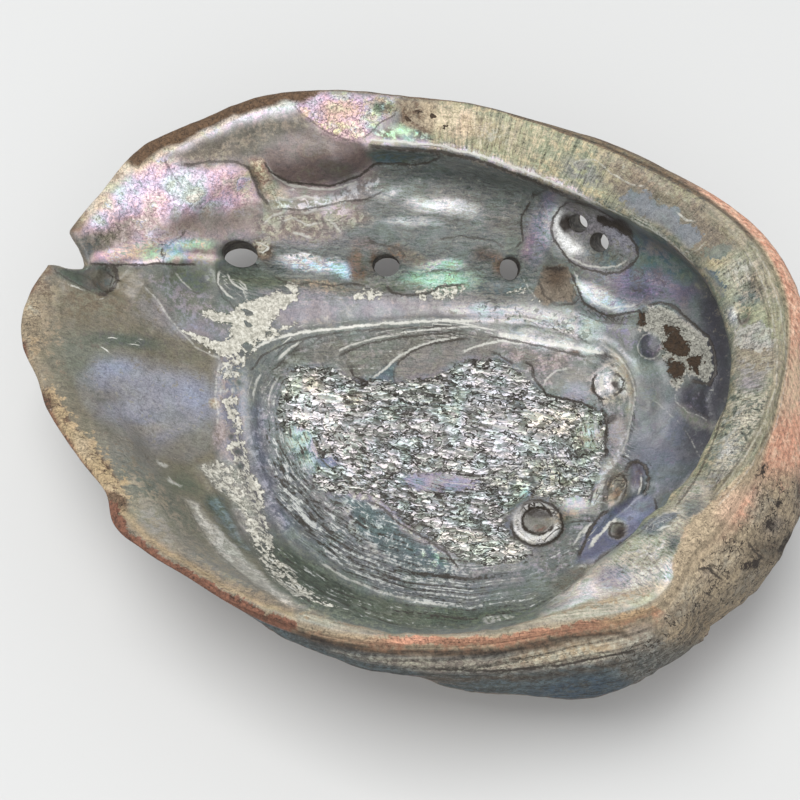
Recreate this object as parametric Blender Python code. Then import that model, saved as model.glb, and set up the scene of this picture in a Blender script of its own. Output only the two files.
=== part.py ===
"""A red abalone shell lying on its back, with the bowl up. The growing lip is at -X and the spire under +X.

The shell is one solid. Guide curves run round it, and each spoke of the surface is a smooth line through
them: over the floor of the bowl, up the wall, over the shelf and the crest of the lip, and back underneath.
Sizes are in millimetres in the tables below, and the mesh is made in metres. The tables are drawn round
CENTRE, inside the bowl. The finished solid is moved so that the middle of its outline is the origin.
"""

import bmesh
import bpy
import numpy as np
from mathutils import Matrix, Vector

MM = 0.001
CENTRE_X = 8.0
CENTRE_Y = -4.0
MIDDLE_X = 0.15
MIDDLE_Y = 3.4
SPOKES = 96
FLOOR_HEIGHT = 7.0
INNER_FLOOR_RADIUS = 20.0
LEDGE_DEPTH = 3.4
CREST_ROUNDING = 1.2
REST_X = 21.0
REST_Y = -3.0
REST_RADIUS = 15.0
REST_EASE = 10.0
APEX_X = 53.0
APEX_Y = -28.0
SUTURE_DEPTH = 1.7
SUTURE_WIDTH = 3.0
SUTURE_START = 3.0
SUTURE_TURN = 4.5
SUTURE_END_ANGLE = -84.0
SUTURE_END_RADIUS = 36.0
GROOVE_DEPTH = 1.3
GROOVE_WIDTH = 3.2
SCAR_HEIGHT = 0.7

# Rows between one guide curve and the next, from the middle of the floor to the middle of the underside.
ROWS = [3, 3, 4, 4, 3, 1, 2, 2, 1, 1, 2, 4, 6, 6, 3, 1, 1]

# Crest of the lip and of the shelf: x, y, height.
CREST = [
    (91, 1, 53), (92, 15, 53.5), (87, 32, 54), (78, 44, 54), (62, 56.5, 54), (34, 71.5, 54), (18, 77.8, 54),
    (-4, 82.3, 53), (-23, 85, 52), (-42, 83.4, 51), (-57, 76.5, 50), (-73, 68.5, 48), (-83, 55, 46),
    (-90, 45, 44), (-95.5, 33, 43), (-99, 25, 43), (-99, 9, 43), (-94.5, 0, 43), (-91, -9, 43),
    (-86, -17, 43), (-79.5, -26, 44), (-73.5, -34, 45), (-71, -42, 45), (-63.5, -49, 46), (-53, -56, 47),
    (-43, -62.5, 48), (-26, -70, 50), (-3, -75, 52), (19, -74, 52), (33, -71, 52), (57, -64, 52),
    (64, -53, 52), (72, -44, 52), (79, -32, 53), (88, -10, 53),
]

# Inner edge of the shelf, and of the lip where there is no shelf: x, y, height.
LEDGE = [
    (80, 8, 44), (79, 17, 44), (75, 29, 44), (63, 37, 45), (53, 44, 45), (38, 56, 45), (23, 63, 45),
    (7, 68, 45), (-13, 70, 46), (-21, 72, 47), (-29, 75.5, 47.5), (-38, 75.5, 47), (-55, 67, 44.5), (-70, 56, 41),
    (-80, 43, 38), (-86, 26, 38.5), (-87, 10, 38.5), (-83, -3, 38.5), (-74, -17, 39), (-64, -32, 40.5),
    (-55, -46, 42), (-38, -58, 45), (-19, -64, 47), (-2, -70, 48), (10, -70, 47), (27, -65, 45),
    (43, -52, 43), (59, -37, 43), (72, -20, 43), (79, -3, 44),
]

# The other guide curves go by angle: angle in degrees, distance from the centre, height.
FLOOR = [
    (0, 44, 8.4), (40, 42, 9.4), (80, 38, 10), (120, 40, 10.6), (160, 46, 11.6), (180, 44, 11.4),
    (-160, 38, 10.8), (-120, 36, 9.8), (-80, 38, 8.8), (-40, 40, 8.2),
]
FOOT = [
    (0, 62, 13), (20, 61, 14), (40, 57, 14.2), (60, 58, 15), (71, 58, 15), (88, 54, 14.5), (106, 57.5, 16),
    (120, 66, 17.6), (134, 75, 20), (147, 78, 23.5), (158, 76, 24.6), (168, 72, 23), (180, 66, 20),
    (-160, 52, 17), (-140, 50, 17.5), (-120, 50, 17), (-100, 50, 15), (-60, 52, 12.4), (-40, 57, 12.8),
    (-20, 60, 12.8),
]
WALL = [
    (0, 81.5, 32), (20, 82, 32), (40, 76, 32), (60, 72, 32), (80, 72, 32), (100, 74.5, 32), (110, 76.5, 32.5),
    (120, 80, 32), (134, 88, 32), (147, 90, 33), (158, 88, 32), (168, 84, 31), (180, 79, 28.5),
    (-160, 66, 27), (-140, 61, 27.5), (-120, 60, 29), (-100, 63, 30), (-80, 65, 28), (-60, 70, 27),
    (-40, 75, 28), (-20, 79.5, 30),
]
BULGE = [
    (0, 91, 34), (20, 96, 40), (29, 93.5, 43), (40, 89, 44), (60, 85, 44), (80, 83.5, 41), (100, 87, 41),
    (120, 98, 41), (140, 102, 38), (152, 102, 34), (160, 101, 32), (180, 94, 33), (-160, 78, 34),
    (-140, 72, 37), (-120, 75, 39), (-100, 74, 37), (-80, 76, 34), (-60, 83.5, 29), (-40, 87.5, 28),
    (-20, 92.5, 31),
]
BELLY = [
    (0, 82.5, 14), (20, 83, 17), (40, 79, 21), (60, 76, 22), (80, 73, 22), (100, 75, 23), (120, 84, 25),
    (134.5, 90, 24), (150, 86, 21.5), (165, 78, 19.5), (180, 72, 19), (-160, 59, 19), (-140, 57, 20),
    (-120, 60, 21), (-100, 64, 20), (-80, 71, 17), (-60, 77, 12.5), (-40, 78, 12.5), (-20, 82.5, 13.5),
]
KEEL = [
    (0, 60, 4), (40, 54, 5), (60, 55, 6.2), (80, 52, 6.2), (100, 53, 7.2), (120, 62, 9.8), (134.5, 70, 11.5),
    (150, 68, 12), (165, 56, 9.2), (180, 50, 7.8), (-160, 42, 7.5), (-120, 41, 6.5), (-80, 48, 4.5),
    (-40, 54, 3.8),
]

# The outer edge of the lip, from the crest: angle, distance out, distance down.
LIP = [
    (0, 3.6, 4), (20, 5.2, 3.2), (40, 4.4, 3), (60, 3.8, 3), (80, 1.8, 3.4), (120, 0.4, 3), (140, -0.3, 2.8),
    (180, -0.6, 2.6), (-160, -0.8, 2.6), (-140, -0.6, 2.8), (-120, 1.4, 3.2), (-100, 2.4, 3.5),
    (-80, 3, 4), (-60, 5.6, 6), (-20, 6, 5),
]

# The row of breathing holes, from the notch in the lip to the oldest: x, y, height of the inner surface.
HOLE_ROW = [(-86, 36, 37), (-68, 46, 28), (-48, 51.5, 21), (-28, 52, 17.5), (-8, 51.5, 16), (27, 51, 15)]

# Open holes: x, y and height of the inner mouth, length and width of the oval, and where the bore points.
OPEN_HOLES = [
    (-48.0, 52.2, 20.0, 9.6, 7.0, (-0.02, 0.36, -0.93)),
    (-7.6, 51.6, 16.2, 7.6, 6.0, (0.03, 0.48, -0.88)),
    (27.2, 51.2, 15.2, 5.8, 6.4, (-0.03, 0.50, -0.87)),
]

# Two round holes bored through the wall under the shelf: x, y, height of the mouth, diameter, direction.
BORED_HOLES = [
    (45.2, 56.7, 28.8, 5.4, (0.38, 0.56, -0.74)),
    (51.0, 52.1, 26.4, 5.4, (0.34, 0.53, -0.78)),
]
CUT_LENGTH = 44.0

# The half-made hole that opens the lip: x, y, height, length, width, direction, turn in degrees.
NOTCH = (-93.0, 40.5, 42.0, 17.0, 8.6, (0.0, 0.3, -0.95), -32.0)

# Knobs outside: x, y, height, spread. The first three stand round the open holes.
KNOBS = [
    (-48, 55, 3.4, 7.0), (-8, 55, 3.8, 6.5), (27, 54, 3.8, 6.0), (46, 48, 3.2, 5.5), (60, 37, 2.8, 5.0),
    (68, 22, 2.4, 4.5), (71, 6, 2.0, 4.0), (69, -9, 1.7, 3.5),
]

# The raised ring of nacre on the floor of the bowl: x, y, height, radius, thickness.
RING = (33.0, -25.0, 8.9, 4.0, 1.5)

# The smooth blister at the edge of the scar: x, y, height, radius.
BLISTER = (54.4, 16.2, 10.8, 3.2)


def smooth_line(x, y, at):
    """Values at the places in at of the smooth line through the points x, y, with x rising."""
    step = np.diff(x)
    slope = np.diff(y) / step
    tangent = np.empty_like(y)
    tangent[1:-1] = (slope[:-1] * step[1:] + slope[1:] * step[:-1]) / (step[1:] + step[:-1])
    tangent[0] = slope[0]
    tangent[-1] = slope[-1]
    part = np.clip(np.searchsorted(x, at) - 1, 0, len(x) - 2)
    t = (at - x[part]) / step[part]
    return (
        (2 * t**3 - 3 * t**2 + 1) * y[part]
        + (t**3 - 2 * t**2 + t) * step[part] * tangent[part]
        + (3 * t**2 - 2 * t**3) * y[part + 1]
        + (t**3 - t**2) * step[part] * tangent[part + 1]
    )


def polar(points):
    """The points x, y, height as angle in degrees, distance from the centre, height."""
    return [
        (np.degrees(np.arctan2(y - CENTRE_Y, x - CENTRE_X)), np.hypot(x - CENTRE_X, y - CENTRE_Y), z)
        for x, y, z in points
    ]


def around(guide, angles):
    """Distance and height at each angle of the closed smooth curve through the guide's points."""
    table = np.array(sorted((angle % 360, distance, height) for angle, distance, height in guide))
    before = table[-3:] - [360, 0, 0]
    after = table[:3] + [360, 0, 0]
    table = np.concatenate([before, table, after])
    at = np.degrees(angles) % 360
    return smooth_line(table[:, 0], table[:, 1], at), smooth_line(table[:, 0], table[:, 2], at)


def rest_edge(angles):
    """Distance from the centre, along each spoke, of the round worn face that the shell rests on."""
    x = REST_X - CENTRE_X
    y = REST_Y - CENTRE_Y
    along = x * np.cos(angles) + y * np.sin(angles)
    across = x * np.sin(angles) - y * np.cos(angles)
    return along + np.sqrt(REST_RADIUS**2 - across**2)


def guides(angles):
    """The guide points of every spoke, from the middle of the floor over the crest to the underside."""
    none = np.zeros(len(angles))
    floor_r, floor_z = around(FLOOR, angles)
    ledge_r, ledge_z = around(polar(LEDGE), angles)
    crest_r, crest_z = around(polar(CREST), angles)
    wall_r, wall_z = around(WALL, angles)
    lip_r, lip_z = around(LIP, angles)
    overhang = np.clip((wall_r - ledge_r) / 6 + 1, 0, 1)
    width = crest_r - ledge_r
    rest = rest_edge(angles)
    points = [
        (none, none + FLOOR_HEIGHT),
        (none + INNER_FLOOR_RADIUS, 0.35 * floor_z + 4.4),
        (floor_r, floor_z),
        around(FOOT, angles),
        (wall_r, wall_z),
        (ledge_r + 0.8 * overhang - 5.5 * (1 - overhang), ledge_z - LEDGE_DEPTH),
        (ledge_r, ledge_z),
        (ledge_r + 0.45 * width, ledge_z + 0.62 * (crest_z - ledge_z)),
        (crest_r - CREST_ROUNDING, crest_z - 0.25),
        (crest_r + 0.3, crest_z - 0.9),
        (crest_r + lip_r, crest_z - lip_z),
        around(BULGE, angles),
        around(BELLY, angles),
        around(KEEL, angles),
        (rest + REST_EASE, none + 0.55),
        (rest, none),
        (0.5 * rest, none),
        (none, none),
    ]
    return np.array([np.stack([r + none, z + none], -1) for r, z in points])


def spokes(angles, rows):
    """The surface as rows of points, one point to each angle, and the row at which each guide lies."""
    guide = guides(angles)
    length = np.linalg.norm(np.diff(guide, axis=0), axis=-1) ** 0.6
    step = length[..., None]
    slope = np.diff(guide, axis=0) / step
    tangent = np.empty_like(guide)
    tangent[1:-1] = (slope[:-1] * step[1:] + slope[1:] * step[:-1]) / (step[1:] + step[:-1])
    tangent[0] = slope[0] * [1, 0]
    tangent[-3:] = slope[-2:][[0, 1, 1]]
    lines = []
    marks = []
    for part, count in enumerate(rows):
        marks.append(len(lines))
        for t in np.arange(count) / count:
            lines.append(
                (2 * t**3 - 3 * t**2 + 1) * guide[part]
                + (t**3 - 2 * t**2 + t) * step[part] * tangent[part]
                + (3 * t**2 - 2 * t**3) * guide[part + 1]
                + (t**3 - t**2) * step[part] * tangent[part + 1]
            )
    marks.append(len(lines))
    lines.append(guide[-1])
    lines = np.array(lines)
    x = CENTRE_X + lines[..., 0] * np.cos(angles)
    y = CENTRE_Y + lines[..., 0] * np.sin(angles)
    return np.stack([x, y, lines[..., 1]], -1), marks


def normals(points):
    """The outward direction at each point of the spokes."""
    down = np.gradient(points, axis=0)
    across = np.roll(points, -1, axis=1) - np.roll(points, 1, axis=1)
    out = np.cross(down, across)
    return out / np.maximum(np.linalg.norm(out, axis=-1, keepdims=True), 1e-9)


def hump(distance, width):
    """1 on the line, falling smoothly to nothing a width away."""
    return np.exp(-((distance / width) ** 2))


def row_offset(points):
    """How far each point lies from the row of holes: positive on the side of the shelf."""
    row = np.array(sorted(HOLE_ROW))
    line = smooth_line(row[:, 0], row[:, 1], np.clip(points[..., 0], row[0, 0], row[-1, 0]))
    beyond = np.maximum(points[..., 0] - row[-1, 0], 0) + np.maximum(row[0, 0] - points[..., 0], 0)
    return points[..., 1] - line, hump(beyond, 9.0)


def inside_relief(points):
    """The groove under the row of holes with the ridge beside it, and the rough scar of the muscle."""
    offset, near = row_offset(points)
    groove = -GROOVE_DEPTH * hump(offset + 3.0, GROOVE_WIDTH) + 0.7 * hump(offset - 2.5, 2.6)
    pocket = -1.8 * hump(np.hypot(points[..., 0] + 83, (points[..., 1] - 32) * 1.6), 6.0)
    x = (points[..., 0] - 13) / 43
    y = (points[..., 1] + 5 + 0.12 * points[..., 0]) / 29
    scar = SCAR_HEIGHT / (1 + np.exp((np.hypot(x, y) - 1) * 14))
    return groove * near + pocket + scar


def outside_relief(points):
    """The spiral seam round the spire, the knobs of the row of holes, and broad growth swells."""
    x = points[..., 0] - APEX_X
    y = points[..., 1] - APEX_Y
    distance = np.maximum(np.hypot(x, y), 0.5)
    turns = (np.degrees(np.arctan2(y, x)) - SUTURE_END_ANGLE) / 360
    wound = np.log(distance / SUTURE_END_RADIUS) / np.log(SUTURE_TURN) - turns
    off = (wound - np.round(wound)) * distance * np.log(SUTURE_TURN) * 0.9
    shown = (distance < SUTURE_END_RADIUS + 4) * np.clip((distance - SUTURE_START) / 3, 0, 1)
    relief = -SUTURE_DEPTH * hump(off, SUTURE_WIDTH) * shown
    relief += 1.6 * hump(distance, 7.0)
    for knob_x, knob_y, height, spread in KNOBS:
        relief += height * hump(np.hypot(points[..., 0] - knob_x, points[..., 1] - knob_y), spread)
    relief += 0.35 * np.sin(distance * 0.42)
    return relief


def shell_points(angles, rows):
    """The spokes with the relief of each side added to them."""
    points, marks = spokes(angles, rows)
    out = normals(points)
    out[0] = [0, 0, 1]
    out[-1] = [0, 0, -1]
    row = np.arange(len(points))[:, None]
    rest = marks[15]
    within = np.clip((marks[5] - row) / (marks[5] - marks[4]), 0, 1)
    beneath = np.clip((row - marks[11]) / (marks[12] - marks[11]), 0, 1)
    beneath = beneath * np.clip((rest - row) / (rest - marks[14]), 0, 1)
    points = points + out * (within * inside_relief(points) + beneath * outside_relief(points))[..., None]
    points[..., 2] = np.maximum(points[..., 2], 0.15)
    points[rest:, :, 2] = 0
    return points


def spoke_angles(count):
    """Angles of the spokes, closer together where the lip is far from the centre."""
    fine = np.radians(np.arange(0, 360, 0.5))
    reach, _ = around(polar(CREST), fine)
    near_notch = 1 + 0.9 * hump(np.degrees(fine) - 158, 12)
    share = np.concatenate([[0], np.cumsum(reach * near_notch)])
    wanted = np.arange(count) / count * share[-1]
    return np.interp(wanted, share, np.append(fine, 2 * np.pi))


def shell_mesh(name):
    """The closed surface through the spokes."""
    angles = spoke_angles(SPOKES)
    points = shell_points(angles, ROWS) - [MIDDLE_X, MIDDLE_Y, 0]
    mesh = bpy.data.meshes.new(name)
    build = bmesh.new()
    top = build.verts.new(points[0, 0] * MM)
    bottom = build.verts.new(points[-1, 0] * MM)
    rings = [[build.verts.new(point * MM) for point in line] for line in points[1:-1]]
    for spoke in range(SPOKES):
        other = (spoke + 1) % SPOKES
        build.faces.new([top, rings[0][spoke], rings[0][other]])
        build.faces.new([bottom, rings[-1][other], rings[-1][spoke]])
        for line, following in zip(rings, rings[1:]):
            build.faces.new([line[spoke], following[spoke], following[other], line[other]])
    bmesh.ops.recalc_face_normals(build, faces=build.faces)
    build.to_mesh(mesh)
    build.free()
    return mesh


def placed(name, build, matrix):
    """A helper object from a bmesh, moved by the matrix, hidden in a render."""
    bmesh.ops.recalc_face_normals(build, faces=build.faces)
    mesh = bpy.data.meshes.new(name)
    build.to_mesh(mesh)
    build.free()
    mesh.transform(Matrix.Translation((-MIDDLE_X * MM, -MIDDLE_Y * MM, 0)) @ matrix)
    helper = bpy.data.objects.new(name, mesh)
    helper.hide_render = True
    helper.display_type = "WIRE"
    bpy.context.scene.collection.objects.link(helper)
    return helper


def bore(name, x, y, z, length, width, direction, spin=0.0, start=-16.0, reach=CUT_LENGTH):
    """An oval rod along the direction through x, y, z, to cut a hole with."""
    along = Vector(direction).normalized()
    side = Vector((1, 0, 0))
    side = (side - along * side.dot(along)).normalized()
    third = along.cross(side)
    turn = Matrix((side, third, along)).transposed().to_4x4()
    build = bmesh.new()
    bmesh.ops.create_cone(build, cap_ends=True, segments=20, radius1=0.5, radius2=0.5, depth=1.0)
    middle = start + reach / 2
    matrix = Matrix.Translation(Vector((x, y, z)) * MM) @ turn
    matrix = matrix @ Matrix.Translation((0, 0, middle * MM)) @ Matrix.Rotation(np.radians(spin), 4, "Z")
    matrix = matrix @ Matrix.Diagonal((length * MM, width * MM, reach * MM, 1))
    return placed(name, build, matrix)


def nacre_ring(name):
    """The raised ring on the floor."""
    x, y, z, radius, thickness = RING
    build = bmesh.new()
    turns = np.radians(np.arange(20) * 18)
    round_steps = np.radians(np.arange(8) * 45)
    loops = []
    for turn in turns:
        loop = []
        for step in round_steps:
            reach = radius + thickness * np.cos(step)
            place = (x + reach * np.cos(turn) * 1.12, y + reach * np.sin(turn), z + thickness * np.sin(step))
            loop.append(build.verts.new(Vector(place) * MM))
        loops.append(loop)
    for index, loop in enumerate(loops):
        following = loops[(index + 1) % len(loops)]
        for step in range(8):
            other = (step + 1) % 8
            build.faces.new([loop[step], following[step], following[other], loop[other]])
    return placed(name, build, Matrix.Identity(4))


def blister(name):
    """The smooth pearly lump beside the scar."""
    x, y, z, radius = BLISTER
    build = bmesh.new()
    bmesh.ops.create_icosphere(build, subdivisions=2, radius=1.0)
    matrix = Matrix.Translation(Vector((x, y, z - 0.6)) * MM)
    matrix = matrix @ Matrix.Diagonal((radius * MM, radius * MM, 0.75 * radius * MM, 1))
    return placed(name, build, matrix)


def boolean(target, tool, operation):
    modifier = target.modifiers.new(tool.name, "BOOLEAN")
    modifier.operation = operation
    modifier.solver = "EXACT"
    modifier.object = tool


def shell_material():
    material = bpy.data.materials.new("nacre")
    material.use_nodes = True
    shader = material.node_tree.nodes["Principled BSDF"]
    shader.inputs["Base Color"].default_value = (0.42, 0.42, 0.38, 1)
    shader.inputs["Roughness"].default_value = 0.3
    return material


for old in list(bpy.data.objects):
    bpy.data.objects.remove(old, do_unlink=True)

shell = bpy.data.objects.new("abalone_shell", shell_mesh("abalone_shell"))
bpy.context.scene.collection.objects.link(shell)
shell.data.materials.append(shell_material())

boolean(shell, nacre_ring("nacre_ring"), "UNION")
boolean(shell, blister("blister"), "UNION")
for index, (x, y, z, length, width, direction) in enumerate(OPEN_HOLES):
    boolean(shell, bore(f"open_hole_{index + 1}", x, y, z, length, width, direction), "DIFFERENCE")
for index, (x, y, z, width, direction) in enumerate(BORED_HOLES):
    tool = bore(f"bored_hole_{index + 1}", x, y, z, width, width, direction, start=-5.0, reach=34.0)
    boolean(shell, tool, "DIFFERENCE")
x, y, z, length, width, direction, spin = NOTCH
boolean(shell, bore("notch", x, y, z, length, width, direction, spin=spin), "DIFFERENCE")
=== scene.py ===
"""The red abalone shell, dressed: nacre inside, worn outer layer outside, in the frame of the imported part.

The surface is made again from the part's guide curves, with far more points, and the relief and colour of
each feature are added where the camera sees it. Features are named in pixels of the 800 by 800 image, and
each point of the surface knows the pixel that it lies behind. Lengths are in millimetres until the mesh.
"""

import bmesh
import bpy
import numpy as np
from mathutils import Matrix, Vector


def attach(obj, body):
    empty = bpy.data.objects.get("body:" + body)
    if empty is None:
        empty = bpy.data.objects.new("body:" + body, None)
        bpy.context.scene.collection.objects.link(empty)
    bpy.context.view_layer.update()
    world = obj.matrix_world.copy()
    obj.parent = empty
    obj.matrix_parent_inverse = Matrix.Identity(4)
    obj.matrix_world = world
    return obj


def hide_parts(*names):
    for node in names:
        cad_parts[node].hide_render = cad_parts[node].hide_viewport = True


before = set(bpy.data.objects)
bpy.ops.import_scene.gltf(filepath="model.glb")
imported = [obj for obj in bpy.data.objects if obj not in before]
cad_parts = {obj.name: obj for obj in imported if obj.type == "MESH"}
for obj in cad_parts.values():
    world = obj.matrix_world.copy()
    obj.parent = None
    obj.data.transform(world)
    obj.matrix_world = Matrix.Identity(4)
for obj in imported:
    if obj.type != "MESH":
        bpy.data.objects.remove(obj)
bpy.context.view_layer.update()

MM = 0.001
CENTRE_X = 8.0
CENTRE_Y = -4.0
MIDDLE = np.array([0.15, 3.4, 0.0])
SPOKES = 512
FLOOR_HEIGHT = 7.0
INNER_FLOOR_RADIUS = 20.0
LEDGE_DEPTH = 3.4
CREST_ROUNDING = 1.2
FRONT_TURN = np.radians(-118.0)
REST_X = 21.0
REST_Y = -3.0
REST_RADIUS = 15.0
REST_EASE = 10.0
APEX = (53.0, -28.0)
SUTURE_TURN = 4.5
SUTURE_END = (-84.0, 36.0)

# The camera, as the photograph was taken: what it looks at, how far and how high it is, and the image's scale.
LOOK_AT = np.array([0.0, 0.0, 30.0])
CAMERA_DISTANCE = 430.0
CAMERA_RISE = np.radians(60.0)
PIXELS_PER_DEPTH = 1669.9
IMAGE_SIDE = 800.0
AIM_ASIDE = -13.0

# Rows between one guide curve and the next, from the middle of the floor to the middle of the underside.
ROWS = [24, 26, 28, 38, 10, 4, 11, 9, 4, 4, 11, 14, 14, 8, 3, 2, 1]

# Crest of the lip and of the shelf: x, y, height.
CREST = [
    (91, 1, 53), (92, 15, 53.5), (87, 32, 54), (78, 44, 54), (62, 56.5, 54), (34, 71.5, 54), (18, 77.8, 54),
    (-4, 82.3, 53), (-23, 85, 52), (-42, 83.4, 51), (-57, 76.5, 50), (-73, 68.5, 48), (-83, 55, 46),
    (-90, 45, 44), (-95.5, 33, 43), (-99, 25, 43), (-99, 9, 43), (-94.5, 0, 43), (-91, -9, 43),
    (-86, -17, 43), (-79.5, -26, 44), (-73.5, -34, 45), (-71, -42, 45), (-63.5, -49, 46), (-53, -56, 47),
    (-43, -62.5, 48), (-26, -70, 50), (-3, -75, 52), (19, -74, 52), (33, -71, 52), (57, -64, 52),
    (64, -53, 52), (72, -44, 52), (79, -32, 53), (88, -10, 53),
]

# Inner edge of the shelf, and of the lip where there is no shelf: x, y, height.
LEDGE = [
    (80, 8, 44), (79, 17, 44), (75, 29.5, 44), (63.6, 42.2, 45), (53.4, 48.8, 45), (38, 57, 45), (23, 63, 45),
    (7, 68, 45), (-13, 70, 46), (-21, 72, 47), (-29, 75.5, 47.5), (-38, 75.5, 47), (-55, 67, 44.5), (-70, 56, 41),
    (-80, 43, 38), (-86, 26, 38.5), (-87, 10, 38.5), (-83, -3, 38.5), (-74, -17, 39), (-64, -32, 40.5),
    (-55, -46, 42), (-38, -58, 45), (-19, -64, 47), (-2, -70, 48), (10, -70, 47), (27, -65, 45),
    (43, -52, 43), (59, -37, 43), (72, -20, 43), (79, -3, 44),
]

# The other guide curves go by angle: angle in degrees, distance from the centre, height.
FLOOR = [
    (0, 44, 8.4), (40, 42, 9.4), (80, 38, 10), (120, 40, 10.6), (160, 46, 11.6), (180, 44, 11.4),
    (-160, 38, 10.8), (-120, 36, 9.8), (-80, 38, 8.8), (-40, 40, 8.2),
]
FOOT = [
    (0, 62, 13), (20, 61, 14), (40, 57, 14.2), (60, 58, 15), (71, 58, 15), (88, 54, 14.5), (106, 57.5, 16),
    (120, 66, 17.6), (134, 75, 20), (147, 78, 23.5), (158, 76, 24.6), (168, 72, 23), (180, 66, 20),
    (-160, 52, 17), (-140, 50, 17.5), (-120, 50, 17), (-100, 50, 15), (-60, 52, 12.4), (-40, 57, 12.8),
    (-20, 60, 12.8),
]
WALL = [
    (0, 81.5, 32), (20, 82, 32), (40, 76, 32), (60, 72, 32), (80, 72, 32), (100, 74.5, 32), (110, 76.5, 32.5),
    (120, 80, 32), (134, 88, 32), (147, 90, 33), (158, 88, 32), (168, 84, 31), (180, 79, 28.5),
    (-160, 66, 27), (-140, 61, 27.5), (-120, 60, 29), (-100, 63, 30), (-80, 65, 28), (-60, 70, 27),
    (-40, 75, 28), (-20, 79.5, 30),
]
BULGE = [
    (0, 91, 34), (20, 96, 40), (29, 93.5, 43), (40, 89, 44), (60, 85, 44), (80, 83.5, 41), (100, 87, 41),
    (120, 98, 41), (140, 102, 38), (152, 102, 34), (160, 101, 32), (180, 94, 33), (-160, 78, 34),
    (-140, 72, 37), (-120, 75, 39), (-100, 74, 37), (-80, 76, 34), (-60, 83.5, 29), (-40, 87.5, 28),
    (-20, 92.5, 31),
]
BELLY = [
    (0, 82.5, 14), (20, 83, 17), (40, 79, 21), (60, 76, 22), (80, 73, 22), (100, 75, 23), (120, 84, 25),
    (134.5, 90, 24), (150, 86, 21.5), (165, 78, 19.5), (180, 72, 19), (-160, 59, 19), (-140, 57, 20),
    (-120, 60, 21), (-100, 64, 20), (-80, 71, 17), (-60, 77, 12.5), (-40, 78, 12.5), (-20, 82.5, 13.5),
]
KEEL = [
    (0, 60, 4), (40, 54, 5), (60, 55, 6.2), (80, 52, 6.2), (100, 53, 7.2), (120, 62, 9.8), (134.5, 70, 11.5),
    (150, 68, 12), (165, 56, 9.2), (180, 50, 7.8), (-160, 42, 7.5), (-120, 41, 6.5), (-80, 48, 4.5),
    (-40, 54, 3.8),
]

# The outer edge of the lip, from the crest: angle, distance out, distance down.
LIP = [
    (0, 3.6, 4), (20, 5.2, 3.2), (40, 4.4, 3), (60, 3.8, 3), (80, 1.8, 3.4), (120, 0.4, 3), (140, -0.3, 2.8),
    (180, -0.6, 2.6), (-160, -0.8, 2.6), (-140, -0.6, 2.8), (-120, 1.4, 3.2), (-100, 2.4, 3.5),
    (-80, 3, 4), (-60, 5.6, 6), (-20, 6, 5),
]

# The notch of the half-made hole: angle, how far the lip is cut back, how far it drops.
NOTCH = [
    (150, 0, 0), (154.2, 0, 0), (154.8, 1.8, 1), (155.3, 3.8, 2), (156.2, 5.8, 3.4), (157, 6.8, 4.4), (157.6, 6.6, 4.6),
    (158.4, 4.9, 3.6), (159, 3.2, 2.6), (159.5, 1.2, 1), (160, 0, 0), (165, 0, 0),
]

# Holes: place of the mouth, length and width of the oval, and direction of the bore.
HOLES = {
    "open_1": ((-48.0, 52.2, 20.0), (9.6, 7.0), (-0.02, 0.36, -0.93)),
    "open_2": ((-7.6, 51.6, 16.2), (7.6, 6.0), (0.03, 0.48, -0.88)),
    "open_3": ((27.2, 51.2, 15.2), (5.8, 6.4), (-0.03, 0.50, -0.87)),
    "bored_1": ((45.2, 56.7, 28.8), (5.4, 5.4), (0.51, 0.68, -0.61)),
    "bored_2": ((51.0, 52.1, 26.4), (5.4, 5.4), (0.55, 0.54, -0.70)),
}
HOLE_SIDES = 64
HOLE_RINGS = 7

# Knobs outside: x, y, height, spread. The first three stand round the open holes.
KNOBS = [
    (-48, 55, 3.4, 7.0), (-8, 55, 3.8, 6.5), (27, 54, 3.8, 6.0), (46, 48, 3.2, 5.5), (60, 37, 2.8, 5.0),
    (68, 22, 2.4, 4.5), (71, 6, 2.0, 4.0), (69, -9, 1.7, 3.5),
]


def smooth_line(x, y, at):
    """Values at the places in at of the smooth line through the points x, y, with x rising."""
    step = np.diff(x)
    slope = np.diff(y) / step
    tangent = np.empty_like(y)
    tangent[1:-1] = (slope[:-1] * step[1:] + slope[1:] * step[:-1]) / (step[1:] + step[:-1])
    tangent[0] = slope[0]
    tangent[-1] = slope[-1]
    part = np.clip(np.searchsorted(x, at) - 1, 0, len(x) - 2)
    t = (at - x[part]) / step[part]
    return (
        (2 * t**3 - 3 * t**2 + 1) * y[part]
        + (t**3 - 2 * t**2 + t) * step[part] * tangent[part]
        + (3 * t**2 - 2 * t**3) * y[part + 1]
        + (t**3 - t**2) * step[part] * tangent[part + 1]
    )


def polar(points):
    """The points x, y, height as angle in degrees, distance from the centre, height."""
    return [
        (np.degrees(np.arctan2(y - CENTRE_Y, x - CENTRE_X)), np.hypot(x - CENTRE_X, y - CENTRE_Y), z)
        for x, y, z in points
    ]


def around(guide, angles):
    """Distance and height at each angle of the closed smooth curve through the guide's points."""
    table = np.array(sorted((angle % 360, distance, height) for angle, distance, height in guide))
    table = np.concatenate([table[-3:] - [360, 0, 0], table, table[:3] + [360, 0, 0]])
    at = np.degrees(angles) % 360
    return smooth_line(table[:, 0], table[:, 1], at), smooth_line(table[:, 0], table[:, 2], at)


def rest_edge(angles):
    """Distance from the centre, along each spoke, of the round worn face that the shell rests on."""
    x = REST_X - CENTRE_X
    y = REST_Y - CENTRE_Y
    along = x * np.cos(angles) + y * np.sin(angles)
    across = x * np.sin(angles) - y * np.cos(angles)
    return along + np.sqrt(REST_RADIUS**2 - across**2)


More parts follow.
